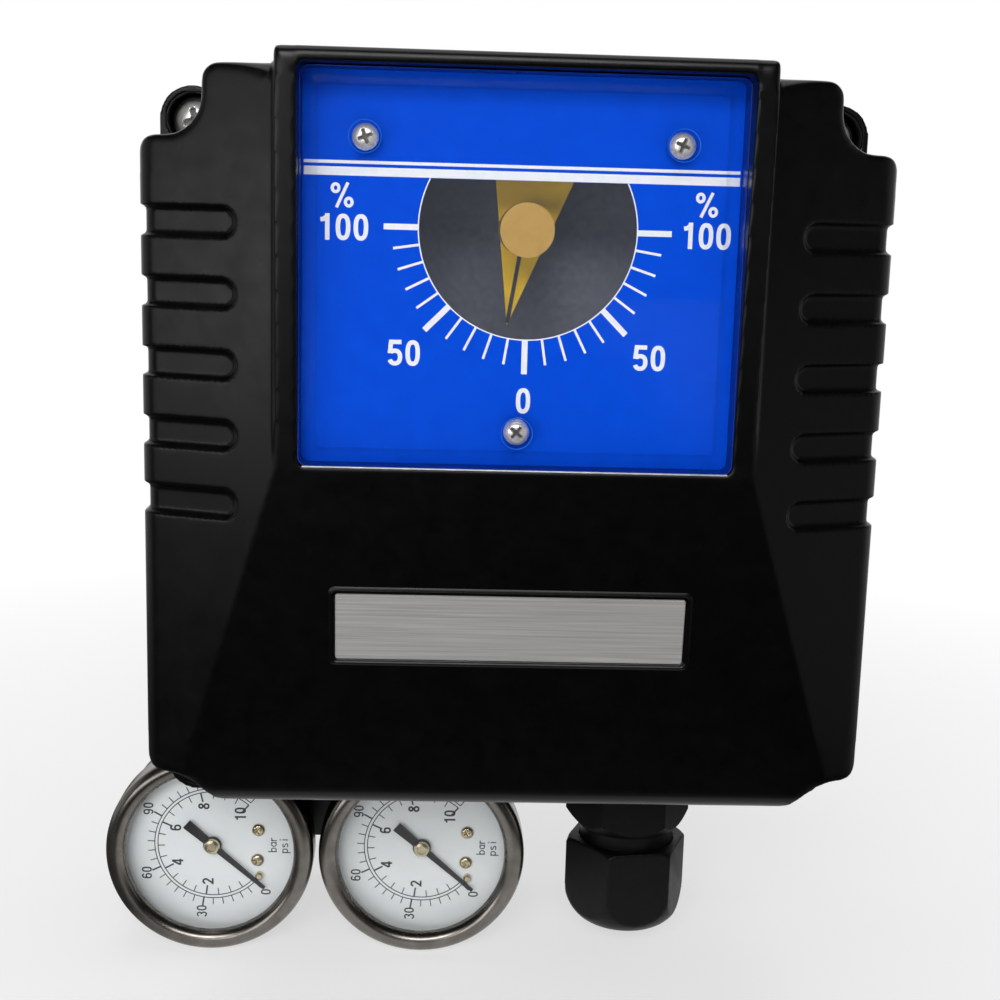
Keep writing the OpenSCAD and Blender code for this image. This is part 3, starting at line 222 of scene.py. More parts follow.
FINISH = {
    COAT: "body cover manifold",
    RUBBER: "cover_gasket window_gasket shaft_seal pilot_gasket manifold_gasket",
    STEEL: "cover_screws window_screws bearing_plate_screws pilot_screws terminal_screws ground_screw "
           "manifold_screws",
    DARK_STEEL: "main_shaft cam_nut cam_roller flapper_beam pilot_spool",
    ACRYLIC: "window",
    BLUE: "scale_film",
    BRUSHED: "name_plate",
    BRONZE: "rear_bush",
    CAM_STEEL: "feedback_cam",
    YELLOW: "pointer",
    GOLD: "pointer_cap",
    PLATE_GREY: "bearing_plate front_bush",
    ALLOY: "span_lever beam_bracket zero_bracket",
    ANODISED: "motor_base nozzle_block pilot_block pilot_caps",
    SPRING: "shaft_clip lever_clip feedback_spring zero_spring",
    BOBBIN: "coil_bobbin",
    COPPER: "coil_winding",
    IRON: "magnets magnet_yoke",
    BRASS: "nozzle zero_wheel auto_manual_screw",
    GREEN: "terminal_block",
    CASE: "left_gauge_case right_gauge_case",
    CHROME: "left_gauge_bezel right_gauge_bezel",
    GAUGE_GLASS: "left_gauge_lens right_gauge_lens",
    DIAL: "left_gauge_dial right_gauge_dial",
    INK: "left_gauge_needle right_gauge_needle",
    NYLON: "gland_body gland_nut",
}
for finish, names in FINISH.items():
    for name in names.split():
        nodes[name].data.materials.clear()
        nodes[name].data.materials.append(finish)


# Flat prints, drawn in the dial's plane: x to the right, y up, in mm

def spot(x, y, z):
    """A bench point in mm (x right, y up, z to the viewer) as a point of the frame in metres."""
    return Vector((x, -z, y)) * MM


def link(name, mesh, finish, body):
    made = bpy.data.objects.new(name, mesh)
    scene.collection.objects.link(made)
    mesh.materials.append(finish)
    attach(made, body)
    return made


PRINT_THICK = 0.05
LEVEL_RISE = 0.006


def print_mesh(name, shapes, z, thick=PRINT_THICK):
    """One mesh of flat polygons, each (points, level), standing thick above z.
    Where shapes cross, the one with the higher level lies a little above."""
    mesh, made = bpy.data.meshes.new(name), bmesh.new()
    for shape, level in shapes:
        top = z + thick + LEVEL_RISE * level
        low = [made.verts.new(spot(x, y, z)) for x, y in shape]
        high = [made.verts.new(spot(x, y, top)) for x, y in shape]
        made.faces.new(high)
        made.faces.new(low[::-1])
        for k in range(len(shape)):
            n = (k + 1) % len(shape)
            made.faces.new((low[k], low[n], high[n], high[k]))
    bmesh.ops.recalc_face_normals(made, faces=made.faces)
    made.to_mesh(mesh)
    made.free()
    return mesh


def at_level(level, shapes):
    return [(shape, level) for shape in shapes]


def polar(r, clock):
    """The point at radius r and clock degrees clockwise from straight up."""
    a = math.radians(clock)
    return r * math.sin(a), r * math.cos(a)


def tick(at, clock, r0, r1, width):
    """A straight mark from radius r0 to r1 round at."""
    (x0, y0), (x1, y1) = polar(r0, clock), polar(r1, clock)
    dx, dy = polar(width / 2, clock + 90)
    return [(at[0] + x, at[1] + y) for x, y in
            ((x0 - dx, y0 - dy), (x1 - dx, y1 - dy), (x1 + dx, y1 + dy), (x0 + dx, y0 + dy))]


def arc(at, r, width, start, end, steps=96):
    """Quads of a ring round at, from one clock angle to another."""
    shapes, inner, outer = [], r - width / 2, r + width / 2
    for k in range(steps):
        a, b = (start + (end - start) * j / steps for j in (k, k + 1))
        corners = polar(inner, a), polar(outer, a), polar(outer, b), polar(inner, b)
        shapes.append([(at[0] + x, at[1] + y) for x, y in corners])
    return shapes


def box_shape(x0, x1, y0, y1):
    return [(x0, y0), (x1, y0), (x1, y1), (x0, y1)]


def ellipse(cx, cy, rx, ry, start, end, power=2.0, steps=28):
    """Points of a curve round (cx, cy); a power above 2 makes it squarer than an ellipse."""
    points = []
    for k in range(steps + 1):
        a = math.radians(start + (end - start) * k / steps)
        x, y = (math.copysign(abs(part) ** (2 / power), part) for part in (math.cos(a), math.sin(a)))
        points.append((cx + rx * x, cy + ry * y))
    return points


FIGURE_W, PERCENT_W, FIGURE_SPACE = 0.56, 0.94, 0.12


def glyph(sign, stroke):
    """(width, centre lines) of a dial figure of height 1, drawn with that stroke."""
    h, w = stroke / 2, FIGURE_W
    rx, mid = w / 2 - h, w / 2
    nought = ellipse(mid, 0.5, rx, 0.5 - h, 0, 360, 2.5, 40)
    six = [ellipse(mid, 0.32, rx, 0.32 - h, 0, 360, 2.3), ellipse(mid, 0.5, rx, 0.5 - h, 38, 190, 2.5)]
    bowl = ellipse(mid, 0.33, rx, 0.33 - h, 0, 360, 2.3)
    lines = {
        "0": [nought],
        "1": [[(0.36, 0.0), (0.36, 1.0)], [(0.10, 0.765), (0.24, 0.79), (0.36, 0.90)]],
        "2": [ellipse(mid, 0.70, rx, 0.30 - h, 172, -30, 2.2) + [(h + 0.03, h)], [(0.0, h), (w, h)]],
        "3": [ellipse(mid, 0.735, rx - 0.02, 0.265 - h, 165, -90, 2.2),
              ellipse(mid, 0.28, rx, 0.28 - h / 2, 90, -165, 2.2)],
        "4": [[(0.40, 0.0), (0.40, 1.0)], [(0.38, 0.96), (0.03, 0.29)], [(0.0, 0.26), (w, 0.26)]],
        "5": [[(w - 0.04, 1 - h), (0.12, 1 - h), (0.075, 0.47)],
              ellipse(mid - 0.01, 0.33, rx + 0.01, 0.33 - h, 138, -158, 2.3)],
        "6": six,
        "8": [ellipse(mid, 0.27, rx, 0.27 - h, 0, 360, 2.3),
              ellipse(mid, 0.76, rx - 0.03, 0.24 - h, 0, 360, 2.2)],
        "9": [[(w - x, 1 - y) for x, y in line] for line in six],
        "b": [[(h, 0.0), (h, 1.0)], bowl],
        "a": [[(w - h, 0.0), (w - h, 0.66)], bowl],
        "r": [[(h, 0.0), (h, 0.66)], ellipse(mid + 0.02, 0.36, rx, 0.30 - h, 170, 60)],
        "p": [[(h, -0.3), (h, 0.66)], bowl],
        "s": [ellipse(mid, 0.49, rx - 0.02, 0.17 - h, 25, 270),
              ellipse(mid, 0.17, rx, 0.17 - h / 2, 90, -155)],
        "i": [[(mid, 0.0), (mid, 0.66)], [(mid, 0.82), (mid, 0.98)]],
        "%": [ellipse(0.20, 0.78, 0.20 - h, 0.22 - h, 0, 360),
              ellipse(0.74, 0.22, 0.20 - h, 0.22 - h, 0, 360),
              [(0.24, 0.0), (0.70, 1.0)]],
    }[sign]
    return (PERCENT_W if sign == "%" else w), lines


SHARPEST_MITRE = 0.4


def ribbon(line, width):
    """Quads of that width along a centre line, mitred at its bends."""
    closed = math.dist(line[0], line[-1]) < 1e-6
    line = line[:-1] if closed else line
    n, sides = len(line), []
    for k in range(n):
        before = line[(k - 1) % n] if closed or k else line[k]
        after = line[(k + 1) % n] if closed or k < n - 1 else line[k]
        here = line[k]
        normals = []
        for a, b in ((before, here), (here, after)):
            d = math.dist(a, b)
            if d > 1e-9:
                normals.append(((a[1] - b[1]) / d, (b[0] - a[0]) / d))
        x, y = sum(v[0] for v in normals), sum(v[1] for v in normals)
        size = math.hypot(x, y) or 1.0
        reach = width / 2 / max(SHARPEST_MITRE, size / len(normals))
        sides.append((here, (x / size * reach, y / size * reach)))
    quads = []
    for k in range(n if closed else n - 1):
        (p, m), (q, o) = sides[k], sides[(k + 1) % n]
        quads.append([(p[0] - m[0], p[1] - m[1]), (q[0] - o[0], q[1] - o[1]),
                      (q[0] + o[0], q[1] + o[1]), (p[0] + m[0], p[1] + m[1])])
    return quads


def figures(text, at, height, stroke, turn=0.0):
    """Shapes of dial figures of that height in mm, centred on at, turned anticlockwise by turn degrees."""
    shapes, x0 = [], 0.0
    for sign in text:
        width, lines = glyph(sign, stroke)
        for level, line in enumerate(lines):
            shapes += [([(x + x0, y - 0.5) for x, y in quad], level) for quad in ribbon(line, stroke)]
        x0 += width + FIGURE_SPACE
    half = (x0 - FIGURE_SPACE) / 2
    c, s = math.cos(math.radians(turn)) * height, math.sin(math.radians(turn)) * height

    def place(x, y):
        return at[0] + c * (x - half) - s * y, at[1] + s * (x - half) + c * y

    return [([place(x, y) for x, y in quad], level) for quad, level in shapes]


# The blue scale behind the window

def top_of(node):
    """z of a node's face towards the viewer, in mm."""
    return -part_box(node)[0].y / MM


SCALE_MIDDLE = (0, 0)
SCALE_DOWN = 180
BAR_MARGIN = 0.3
WIDE_BAR, NARROW_BAR = (8.55, 10.05), (10.6, 11.15)
RING_R, RING_W, RING_FROM, RING_TO = 19.32, 0.22, 64, 296
STEPS_EACH_WAY, STEP_DEG, MAJOR_EVERY = 10, 9, 5
# Inner radius, outer radius and width of a mark
MAJOR_TICK, MINOR_TICK = (19.3, 25.4, 1.05), (19.4, 24.0, 0.45)
# Height and stroke of a figure
NUMBER, PERCENT = (4.6, 0.17), (4.3, 0.13)
SCALE_FIGURES = (("100", (-32.5, -0.3), NUMBER), ("100", (31.5, -0.2), NUMBER),
                 ("%", (-32.7, 5.2), PERCENT), ("%", (31.4, 5.2), PERCENT),
                 ("50", (-21.5, -22.1), NUMBER), ("50", (22.4, -22.0), NUMBER), ("0", (0.0, -30.2), NUMBER))

film_z = top_of("scale_film")
low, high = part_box("scale_film")
left, right = low.x / MM, high.x / MM
scale_bars = [box_shape(left + BAR_MARGIN, right - BAR_MARGIN, *bar) for bar in (WIDE_BAR, NARROW_BAR)]
scale_marks = at_level(0, scale_bars)
scale_marks += at_level(1, arc(SCALE_MIDDLE, RING_R, RING_W, RING_FROM, RING_TO))
for step in range(-STEPS_EACH_WAY, STEPS_EACH_WAY + 1):
    mark = MINOR_TICK if step % MAJOR_EVERY else MAJOR_TICK
    scale_marks += at_level(2, [tick(SCALE_MIDDLE, SCALE_DOWN + STEP_DEG * step, *mark)])
link("scale_marks", print_mesh("scale_marks", scale_marks, film_z), WHITE, "housing")
scale_figures = []
for text, at, size in SCALE_FIGURES:
    scale_figures += figures(text, at, *size)
link("scale_figures", print_mesh("scale_figures", scale_figures, film_z), WHITE, "housing")

# The pointer's black line, drawn on its face
POINTER_REST = 9.0
POINTER_LINE = (4.9, 17.4, 0.75)
pointer_line = at_level(0, [tick(SCALE_MIDDLE, SCALE_DOWN + POINTER_REST, *POINTER_LINE)])
pointer_print = print_mesh("pointer_line", pointer_line, top_of("pointer"))
link("pointer_line", pointer_print, INK, "shaft")


# Gauge dials

# The clock angle of zero, and the turn from there to full scale
ZERO, SWEEP = 134.0, 267.0
FULL_BAR, PSI_PER_BAR = 10, 14.5038
GAUGE_PRINT = 0.04
FINE_LINE, BOLD_LINE = 0.2, 0.34
BAR_R, PSI_R = 12.15, 12.85
BAR_MAJOR_R, BAR_MINOR_R, BAR_FIGURE_R, BAR_LAST_R = 10.0, 10.6, 9.0, 9.3
PSI_MAJOR_R, PSI_MINOR_R, PSI_FIGURE_R = 14.9, 14.4, 16.3
BAR_STEPS, BAR_MAJOR_EVERY = 20, 4
PSI_STEP, PSI_MAJOR_EVERY, PSI_LAST_FIGURE = 5, 30, 120
BAR_FIGURE_H, BAR_STROKE = 2.5, 0.16
PSI_FIGURE_H, PSI_STROKE = 2.2, 0.14
UNIT_H, UNIT_STROKE = 1.9, 0.12
BAR_UNIT, PSI_UNIT = (13.2, 0.0), (15.7, -0.2)
# The gauges lie on their sides, so their figures are turned
GAUGE_TURN = 90


def middle_of(low, high):
    """Bench x and y of a box's middle, in mm."""
    return (low.x + high.x) / 2 / MM, (low.z + high.z) / 2 / MM


def bar_angle(bar):
    return ZERO + SWEEP * bar / FULL_BAR


def gauge(side):
    low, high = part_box(side + "_gauge_bezel")
    at = middle_of(low, high)
    z = top_of(side + "_gauge_dial")

    def near(offset):
        return at[0] + offset[0], at[1] + offset[1]

    shapes = []
    for r in (BAR_R, PSI_R):
        shapes += at_level(0, arc(at, r, FINE_LINE, ZERO, ZERO + SWEEP))
    for step in range(BAR_STEPS + 1):
        inner, width = (BAR_MINOR_R, FINE_LINE) if step % BAR_MAJOR_EVERY else (BAR_MAJOR_R, BOLD_LINE)
        shapes += at_level(1, [tick(at, bar_angle(FULL_BAR * step / BAR_STEPS), inner, BAR_R, width)])
    for psi in range(0, int(FULL_BAR * PSI_PER_BAR) + 1, PSI_STEP):
        outer, width = (PSI_MINOR_R, FINE_LINE) if psi % PSI_MAJOR_EVERY else (PSI_MAJOR_R, BOLD_LINE)
        shapes += at_level(1, [tick(at, bar_angle(psi / PSI_PER_BAR), PSI_R, outer, width)])
    for bar in range(2, FULL_BAR + 1, 2):
        r = BAR_FIGURE_R if bar < FULL_BAR else BAR_LAST_R
        shapes += figures(str(bar), near(polar(r, bar_angle(bar))), BAR_FIGURE_H, BAR_STROKE, GAUGE_TURN)
    for psi in range(0, PSI_LAST_FIGURE + 1, PSI_MAJOR_EVERY):
        place = near(polar(PSI_FIGURE_R, bar_angle(psi / PSI_PER_BAR)))
        shapes += figures(str(psi), place, PSI_FIGURE_H, PSI_STROKE, GAUGE_TURN)
    for unit, offset in (("bar", BAR_UNIT), ("psi", PSI_UNIT)):
        shapes += figures(unit, near(offset), UNIT_H, UNIT_STROKE, GAUGE_TURN)
    link(side + "_gauge_marks", print_mesh(side + "_gauge_marks", shapes, z, GAUGE_PRINT), PRINT, "housing")


for side in ("left", "right"):
    gauge(side)


# Castings and mouldings: the CAD solids with their edges rounded

ROUNDED = "rounded"
ROUND_PASSES = 26
SMOOTHING = 0.5


def frame_body(node):
    return next(b for b, members in frame["record"]["behaviour"]["bodies"].items() if node in members)


def baked(holder):
    """The mesh that an object shows. The object itself goes."""
    bpy.context.view_layer.update()
    made = bpy.data.meshes.new_from_object(holder.evaluated_get(bpy.context.evaluated_depsgraph_get()))
    bpy.data.objects.remove(holder)
    return made


def evaluated(mesh, name, *steps):
    """A new mesh: the given one after modifiers, each (kind, settings, the points it works on or None)."""
    holder = bpy.data.objects.new(name, mesh)
    scene.collection.objects.link(holder)
    for kind, settings, points in steps:
        if points is not None:
            holder.vertex_groups.new(name=ROUNDED).add(points, 1.0, "REPLACE")
        step = holder.modifiers.new(kind, kind)
        for key, value in settings.items():
            setattr(step, key, value)
    return baked(holder)


def softened(node, voxel, passes, share, finish, rounder=None, lift=None):
    """A copy of a node with its edges softened as a casting's are, in that node's place.
    rounder picks, from the bench points of its mesh, those whose edges are rounded more.
    lift, which comes with it, says how far each point rises."""
    mesh = evaluated(nodes[node].data.copy(), node + "_source",
                     ("REMESH", {"mode": "VOXEL", "voxel_size": voxel * MM, "adaptivity": 0.0}, None),
                     ("SMOOTH", {"factor": SMOOTHING, "iterations": passes}, None))
    steps = [("DECIMATE", {"ratio": share}, None)]
    if rounder:
        points = np.empty(len(mesh.vertices) * 3)
        mesh.vertices.foreach_get("co", points)
        points = points.reshape(-1, 3)
        x, depth, y = (points / MM).T
        chosen = np.flatnonzero(rounder(x, y, -depth)).tolist()
        points[:, 2] += lift(x, y, -depth) * MM
        mesh.vertices.foreach_set("co", points.ravel())
        settings = {"factor": SMOOTHING, "iterations": ROUND_PASSES, "vertex_group": ROUNDED}
        steps.insert(0, ("SMOOTH", settings, chosen))
    mesh = evaluated(mesh, node + "_soft", *steps)
    mesh.name = node + "_soft"
    mesh.materials.clear()
    mesh.shade_smooth()
    made = link(node + "_soft", mesh, finish, frame_body(node))
    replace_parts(made, node)


HOUSING_X, HALF_NOSE = -1.2, 42.75
# Where the cover's rounder rims begin
PANEL_FRONT_Z, UPPER_RIM_Y, UPPER_RIM_SIDE = 62, 8, HALF_NOSE + 1.7
LOWER_RIM_Y, LOWER_RIM_SIDE = -95, 55
FRAME_CORNER_Y, FRAME_CORNER_Z = 24.5, 86
FRAME_CORNER_IN, FRAME_CORNER_OUT = HALF_NOSE - 4, HALF_NOSE + 0.8


def cover_rims(x, y, z):
    """The rims of the cover's upper panels and of its corner hollows, and the frame's upper corners."""
    side = np.abs(x - HOUSING_X)
    upper = (y > UPPER_RIM_Y) & (side > UPPER_RIM_SIDE) & (z > PANEL_FRONT_Z)
    lower = (y < LOWER_RIM_Y) & (side > LOWER_RIM_SIDE) & (z > PANEL_FRONT_Z)
    corner = (side > FRAME_CORNER_IN) & (side < FRAME_CORNER_OUT)
    return upper | lower | (corner & (y > FRAME_CORNER_Y) & (z > FRAME_CORNER_Z))


FRAME_RISE, RISE_FROM_Y, RISE_OVER, RISE_SIDE, RISE_Z = 0.6, 26.2, 1.6, HALF_NOSE + 0.6, 70


def frame_lift(x, y, z):
    """The frame's top rail stands higher on the real object than on the solid."""
    share = np.clip((y - RISE_FROM_Y) / RISE_OVER, 0, 1)
    return FRAME_RISE * share * (np.abs(x - HOUSING_X) < RISE_SIDE) * (z > RISE_Z)


softened("cover", 0.4, 2, 0.22, COAT, cover_rims, frame_lift)
softened("body", 0.8, 4, 0.25, COAT)
softened("gland_nut", 0.3, 4, 0.3, NYLON)


# The feedback spring, which stands on the beam and which the lever presses together on the real object; here
# a copy of the solid in its place, keeping the solid's shape

coil_mesh = nodes["feedback_spring"].data.copy()
coil_mesh.name = "feedback_spring_coil"
coil_mesh.materials.clear()
coil = link("feedback_spring_coil", coil_mesh, SPRING, frame_body("feedback_spring"))
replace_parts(coil, "feedback_spring")
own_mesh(coil)


# Turned forms

def facing(at):
    """Places a turned form on the line through at, a bench point (x, y), towards the viewer."""
    return lambda x, y, z: spot(at[0] + x, at[1] + y, z)


def skin(made, a, b, steps):
    """Adds the faces between two rings; a ring may also be a single point."""
    for k in range(steps):
        n = (k + 1) % steps
        corners = [a[k % len(a)], a[n % len(a)], b[n % len(b)], b[k % len(b)]]
        corners = [v for i, v in enumerate(corners) if v not in corners[:i]]
        if len(corners) > 2:
            made.faces.new(corners)


def lathe(made, put, profile, steps=96, closed=False):
    """Adds a form turned from a profile of (radius, z)."""
    rings = []
    for r, z in profile:
        if r < 1e-6:
            rings.append([made.verts.new(put(0, 0, z))])
        else:
            rings.append([made.verts.new(put(*polar(r, 360 * k / steps), z)) for k in range(steps)])
    pairs = list(zip(rings, rings[1:])) + ([(rings[-1], rings[0])] if closed else [])
    for a, b in pairs:
        skin(made, a, b, steps)


# A pan head and its cross, as shares of the head's radius or height
HEAD_FALL, HEAD_FALL_POWER, HEAD_CROWN = 0.62, 4.5, 0.10
ARM_LENGTH, ARM_HALF_W, CROSS_MIDDLE_R, CROSS_EDGE = 0.56, 0.115, 0.21, 0.07
CROSS_DEPTH, CROSS_RISE = 0.75, 0.45
CROSS_SHADE_LENGTH, CROSS_SHADE_W = 0.52, 0.24


def screw(made, put, r, h, z, shank_r, shank, turn, rings=30, steps=96):
    """Adds a pan-head screw with a cross recess; its head stands h above z."""
    c, s = math.cos(math.radians(turn)), math.sin(math.radians(turn))

    def height(x, y):
        d = min(1.0, math.hypot(x, y) / r)
        top = z + h * (1 - HEAD_FALL * d ** HEAD_FALL_POWER - HEAD_CROWN * d * d)
        u, v = abs(c * x + s * y) / r, abs(c * y - s * x) / r
        out = math.hypot(u, v)
        outside = min(max(u - ARM_LENGTH, v - ARM_HALF_W), max(v - ARM_LENGTH, u - ARM_HALF_W),
                      out - CROSS_MIDDLE_R)
        sink = min(1.0, max(0.0, 0.5 - outside / CROSS_EDGE))
        return top - sink * h * CROSS_DEPTH * (1 - CROSS_RISE * min(1.0, out / ARM_LENGTH))

    grid = [[made.verts.new(put(0, 0, height(0, 0)))]]
    for k in range(1, rings + 1):
        ring = []
        for j in range(steps):
            x, y = polar(r * k / rings, 360 * j / steps)
            ring.append(made.verts.new(put(x, y, height(x, y))))
        grid.append(ring)
    for rr, zz in ((r, z), (shank_r, z), (shank_r, z - shank)):
        grid.append([made.verts.new(put(*polar(rr, 360 * j / steps), zz)) for j in range(steps)])
    grid.append([made.verts.new(put(0, 0, z - shank))])
    for a, b in zip(grid, grid[1:]):
        skin(made, a, b, steps)


def crosses(name, screws, r, z):
    """Painted shade: dark bars in the cross recesses, one cross for each screw (x, y, turn), at z."""
    shapes, reach = [], CROSS_SHADE_LENGTH * r
    for x, y, turn in screws:
        for level in (0, 1):
            shapes += at_level(level, [tick((x, y), -turn + 90 * level, -reach, reach, CROSS_SHADE_W * r)])
    link(name, print_mesh(name, shapes, z), RECESS_SHADE, "housing")


def turned(name, build, finish, body, sharp=40):
    """A piece from build(bmesh), shaded smooth except at edges sharper than that."""
    mesh, made = bpy.data.meshes.new(name), bmesh.new()
    build(made)
    bmesh.ops.recalc_face_normals(made, faces=made.faces)
    made.to_mesh(mesh)
    made.free()
    mesh.shade_smooth()
    mesh.set_sharp_from_angle(angle=math.radians(sharp))
    return link(name, mesh, finish, body)


CENTRE = (left + right) / 2
NOSE = top_of("window")
WINDOW_SCREW_X, WINDOW_SCREW_TOP, WINDOW_SCREW_LOW = 27.4, 15.1, -35.5
# Each is x, y and the turn of its cross
window_screws = [(CENTRE - WINDOW_SCREW_X, WINDOW_SCREW_TOP, 20),
                 (CENTRE + WINDOW_SCREW_X, WINDOW_SCREW_TOP, 68),
                 (CENTRE, WINDOW_SCREW_LOW, 50)]
WINDOW_HEAD_R, WINDOW_HEAD_H, WINDOW_SHANK_R, WINDOW_SHANK = 2.3, 1.6, 1.25, 2.6
WINDOW_HEAD_Z, WINDOW_CROSS_Z = NOSE - 2.4, NOSE - 1.55


def window_heads(made):
    for x, y, turn in window_screws:
        screw(made, facing((x, y)), WINDOW_HEAD_R, WINDOW_HEAD_H, WINDOW_HEAD_Z,
              WINDOW_SHANK_R, WINDOW_SHANK, turn)


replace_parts(turned("window_pan_screws", window_heads, STEEL, "housing"), "window_screws")
crosses("window_screw_cross_shade", window_screws, WINDOW_HEAD_R, WINDOW_CROSS_Z)

COVER_HEAD_R, COVER_HEAD_H, COVER_SHANK_R, COVER_SHANK = 4.0, 3.0, 2.5, 7.0
COVER_HEAD_Z, COVER_CROSS_Z = 52.0, 53.6
FIRST_TURN, NEXT_TURN = 15, 37
cover_low, cover_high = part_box("cover_screws")
cover_screw_xs = (cover_low.x / MM + COVER_HEAD_R, cover_high.x / MM - COVER_HEAD_R)
cover_screw_ys = (cover_high.z / MM - COVER_HEAD_R, cover_low.z / MM + COVER_HEAD_R)
cover_screw_spots = [(x, y) for x in cover_screw_xs for y in cover_screw_ys]
cover_screws = [(x, y, FIRST_TURN + NEXT_TURN * k) for k, (x, y) in enumerate(cover_screw_spots)]


def cover_heads(made):
    for x, y, turn in cover_screws:
        screw(made, facing((x, y)), COVER_HEAD_R, COVER_HEAD_H, COVER_HEAD_Z,
              COVER_SHANK_R, COVER_SHANK, turn)


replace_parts(turned("cover_pan_screws", cover_heads, STEEL, "housing"), "cover_screws")
crosses("cover_screw_cross_shade", cover_screws, COVER_HEAD_R, COVER_CROSS_Z)


# The window's pane, its bevel and its linings

def outline_piece(name, loops, z0, z1, round_off, finish, body):
    """A flat plate between z0 and z1, with its edges rounded.
    The first loop is its outline, the rest are holes."""
    curve = bpy.data.curves.new(name, "CURVE")
    curve.dimensions, curve.fill_mode = "2D", "BOTH"
    curve.extrude = (z1 - z0) / 2 - round_off
    curve.bevel_depth, curve.bevel_resolution, curve.offset = round_off, 2, -round_off
    for loop in loops:
        line = curve.splines.new("POLY")
        line.points.add(len(loop) - 1)
        line.use_cyclic_u = True
        for point, (x, y) in zip(line.points, loop):
            point.co = (x, y, 0, 1)
    holder = bpy.data.objects.new(name + "_curve", curve)
    scene.collection.objects.link(holder)
    mesh = baked(holder)
    for v in mesh.vertices:
        v.co = spot(v.co.x, v.co.y, (z0 + z1) / 2 + v.co.z)
    mesh.name = name
    mesh.shade_smooth()
    mesh.set_sharp_from_angle(angle=math.radians(30))
    return link(name, mesh, finish, body)


def circle(x0, y0, r, steps=64):
    points = (polar(r, 360 * k / steps) for k in range(steps))
    return [(x0 + x, y0 + y) for x, y in points]


def round_box(x0, x1, y0, y1, r, steps=8):
    """A rectangle's outline with corners of radius r."""
    loop = []
    corners = (x1 - r, y1 - r), (x0 + r, y1 - r), (x0 + r, y0 + r), (x1 - r, y0 + r)
    for quarter, (cx, cy) in enumerate(corners):
        for k in range(steps + 1):
            a = math.radians(90 * quarter + 90 * k / steps)
            loop.append((cx + r * math.cos(a), cy + r * math.sin(a)))
    return loop


low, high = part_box("window")
PANE_CORNER_R, INNER_CORNER_R = 1.5, 0.6
BEVEL_W, BEVEL_T, BEVEL_SHARP = 2.7, 0.45, 5
PANE_BACK = film_z + 0.1
SCREW_HOLE_R = 2.9
HAIR = 0.02


def grown(by, r):
    """The window's outline, grown outwards."""
    return round_box(low.x / MM - by, high.x / MM + by, low.z / MM - by, high.z / MM + by, r)


screw_holes = [circle(x, y, SCREW_HOLE_R) for x, y, turn in window_screws]
pane_outline = grown(-BEVEL_W - HAIR, INNER_CORNER_R)
pane = outline_piece("window_pane", [pane_outline] + screw_holes, PANE_BACK, NOSE, HAIR,
                     ACRYLIC, "housing")
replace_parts(pane, "window")


def loft(made, put, loops, closed=True):
    """Adds a band through loops of (points, z), each with as many points as the next."""
    rings = [[made.verts.new(put(x, y, z)) for x, y in points] for points, z in loops]
    pairs = list(zip(rings, rings[1:])) + ([(rings[-1], rings[0])] if closed else [])
    for a, b in pairs:
        for k in range(len(a)):
            n = (k + 1) % len(a)
            made.faces.new((a[k], a[n], b[n], b[k]))


def capped_loft(made, put, loops):
    """Adds a solid through loops of (points, z)."""
    loft(made, put, loops, False)
    points, count = list(made.verts), len(loops[0][0])
    made.faces.new(points[-count:])
    made.faces.new(points[:count][::-1])


def pane_bevel(made):
    edge, inner = grown(0, PANE_CORNER_R), grown(-BEVEL_W, INNER_CORNER_R)
    loft(made, spot, [(edge, PANE_BACK), (edge, NOSE - BEVEL_T), (inner, NOSE), (inner, PANE_BACK)])


turned("window_bevel", pane_bevel, BEVEL_SHADE, "housing", BEVEL_SHARP)

# A dark band lining the pane's outline: painted shade where the thick pane's edge shows darker
LINING_OUT, LINING_IN = 0.17, 0.03
lining = [grown(by, PANE_CORNER_R + by) for by in (LINING_OUT, LINING_IN)]
outline_piece("window_edge_shade_lining", lining, film_z + 0.05, NOSE - 0.15, HAIR, NAVY_EDGE_SHADE, "housing")

LIP_DOWN, LIP_END, LIP_HALF, LIP_R = 0.2, 0.6, 0.13, 0.1
LIP_TOP_END, LIP_TOP_HALF, LIP_TOP_R = 0.7, 0.05, 0.04


def lower_lip(made):
    """A light metal strip under the pane: a painted highlight along its lower edge."""
    y = low.z / MM - LIP_DOWN

    def bar(end, half, r):
        return round_box(low.x / MM + end, high.x / MM - end, y - half, y + half, r)

    foot = bar(LIP_END, LIP_HALF, LIP_R)
    crest = bar(LIP_TOP_END, LIP_TOP_HALF, LIP_TOP_R)
    capped_loft(made, spot, [(foot, NOSE - 0.2), (foot, NOSE + 0.05), (crest, NOSE + 0.12)])


turned("window_lower_lip_highlight", lower_lip, LIP_HIGHLIGHT, "housing")

SEAT_BORE, SEAT_R, SEAT_BACK, SEAT_FRONT = 1.4, 2.85, film_z + 0.15, NOSE - 2.45
RIM_IN, RIM_OUT, RIM_BACK = 2.72, 2.86, NOSE - 0.5


def seat_rings(made):
    """Round the screws, the pane goes on at the bottom of the holes."""
    ring = [(SEAT_BORE, SEAT_BACK), (SEAT_R, SEAT_BACK), (SEAT_R, SEAT_FRONT), (SEAT_BORE, SEAT_FRONT)]
    for x, y, turn in window_screws:
        lathe(made, facing((x, y)), ring, 48, True)


turned("window_screw_seats", seat_rings, ACRYLIC, "housing")


def seat_rims(made):
    """The holes' rims at the pane's face, in a lighter blue: a painted highlight."""
    rim = [(RIM_IN, RIM_BACK), (RIM_OUT, RIM_BACK), (RIM_OUT, NOSE - 0.02), (RIM_IN, NOSE - 0.12)]
    for x, y, turn in window_screws:
        lathe(made, facing((x, y)), rim, 64, True)


turned("window_screw_rim_highlights", seat_rims, RIM_HIGHLIGHT, "housing")


# The scale's clear part under a pale veil: a painted haze reflection of the pane, which also lightens the
# recess's shade

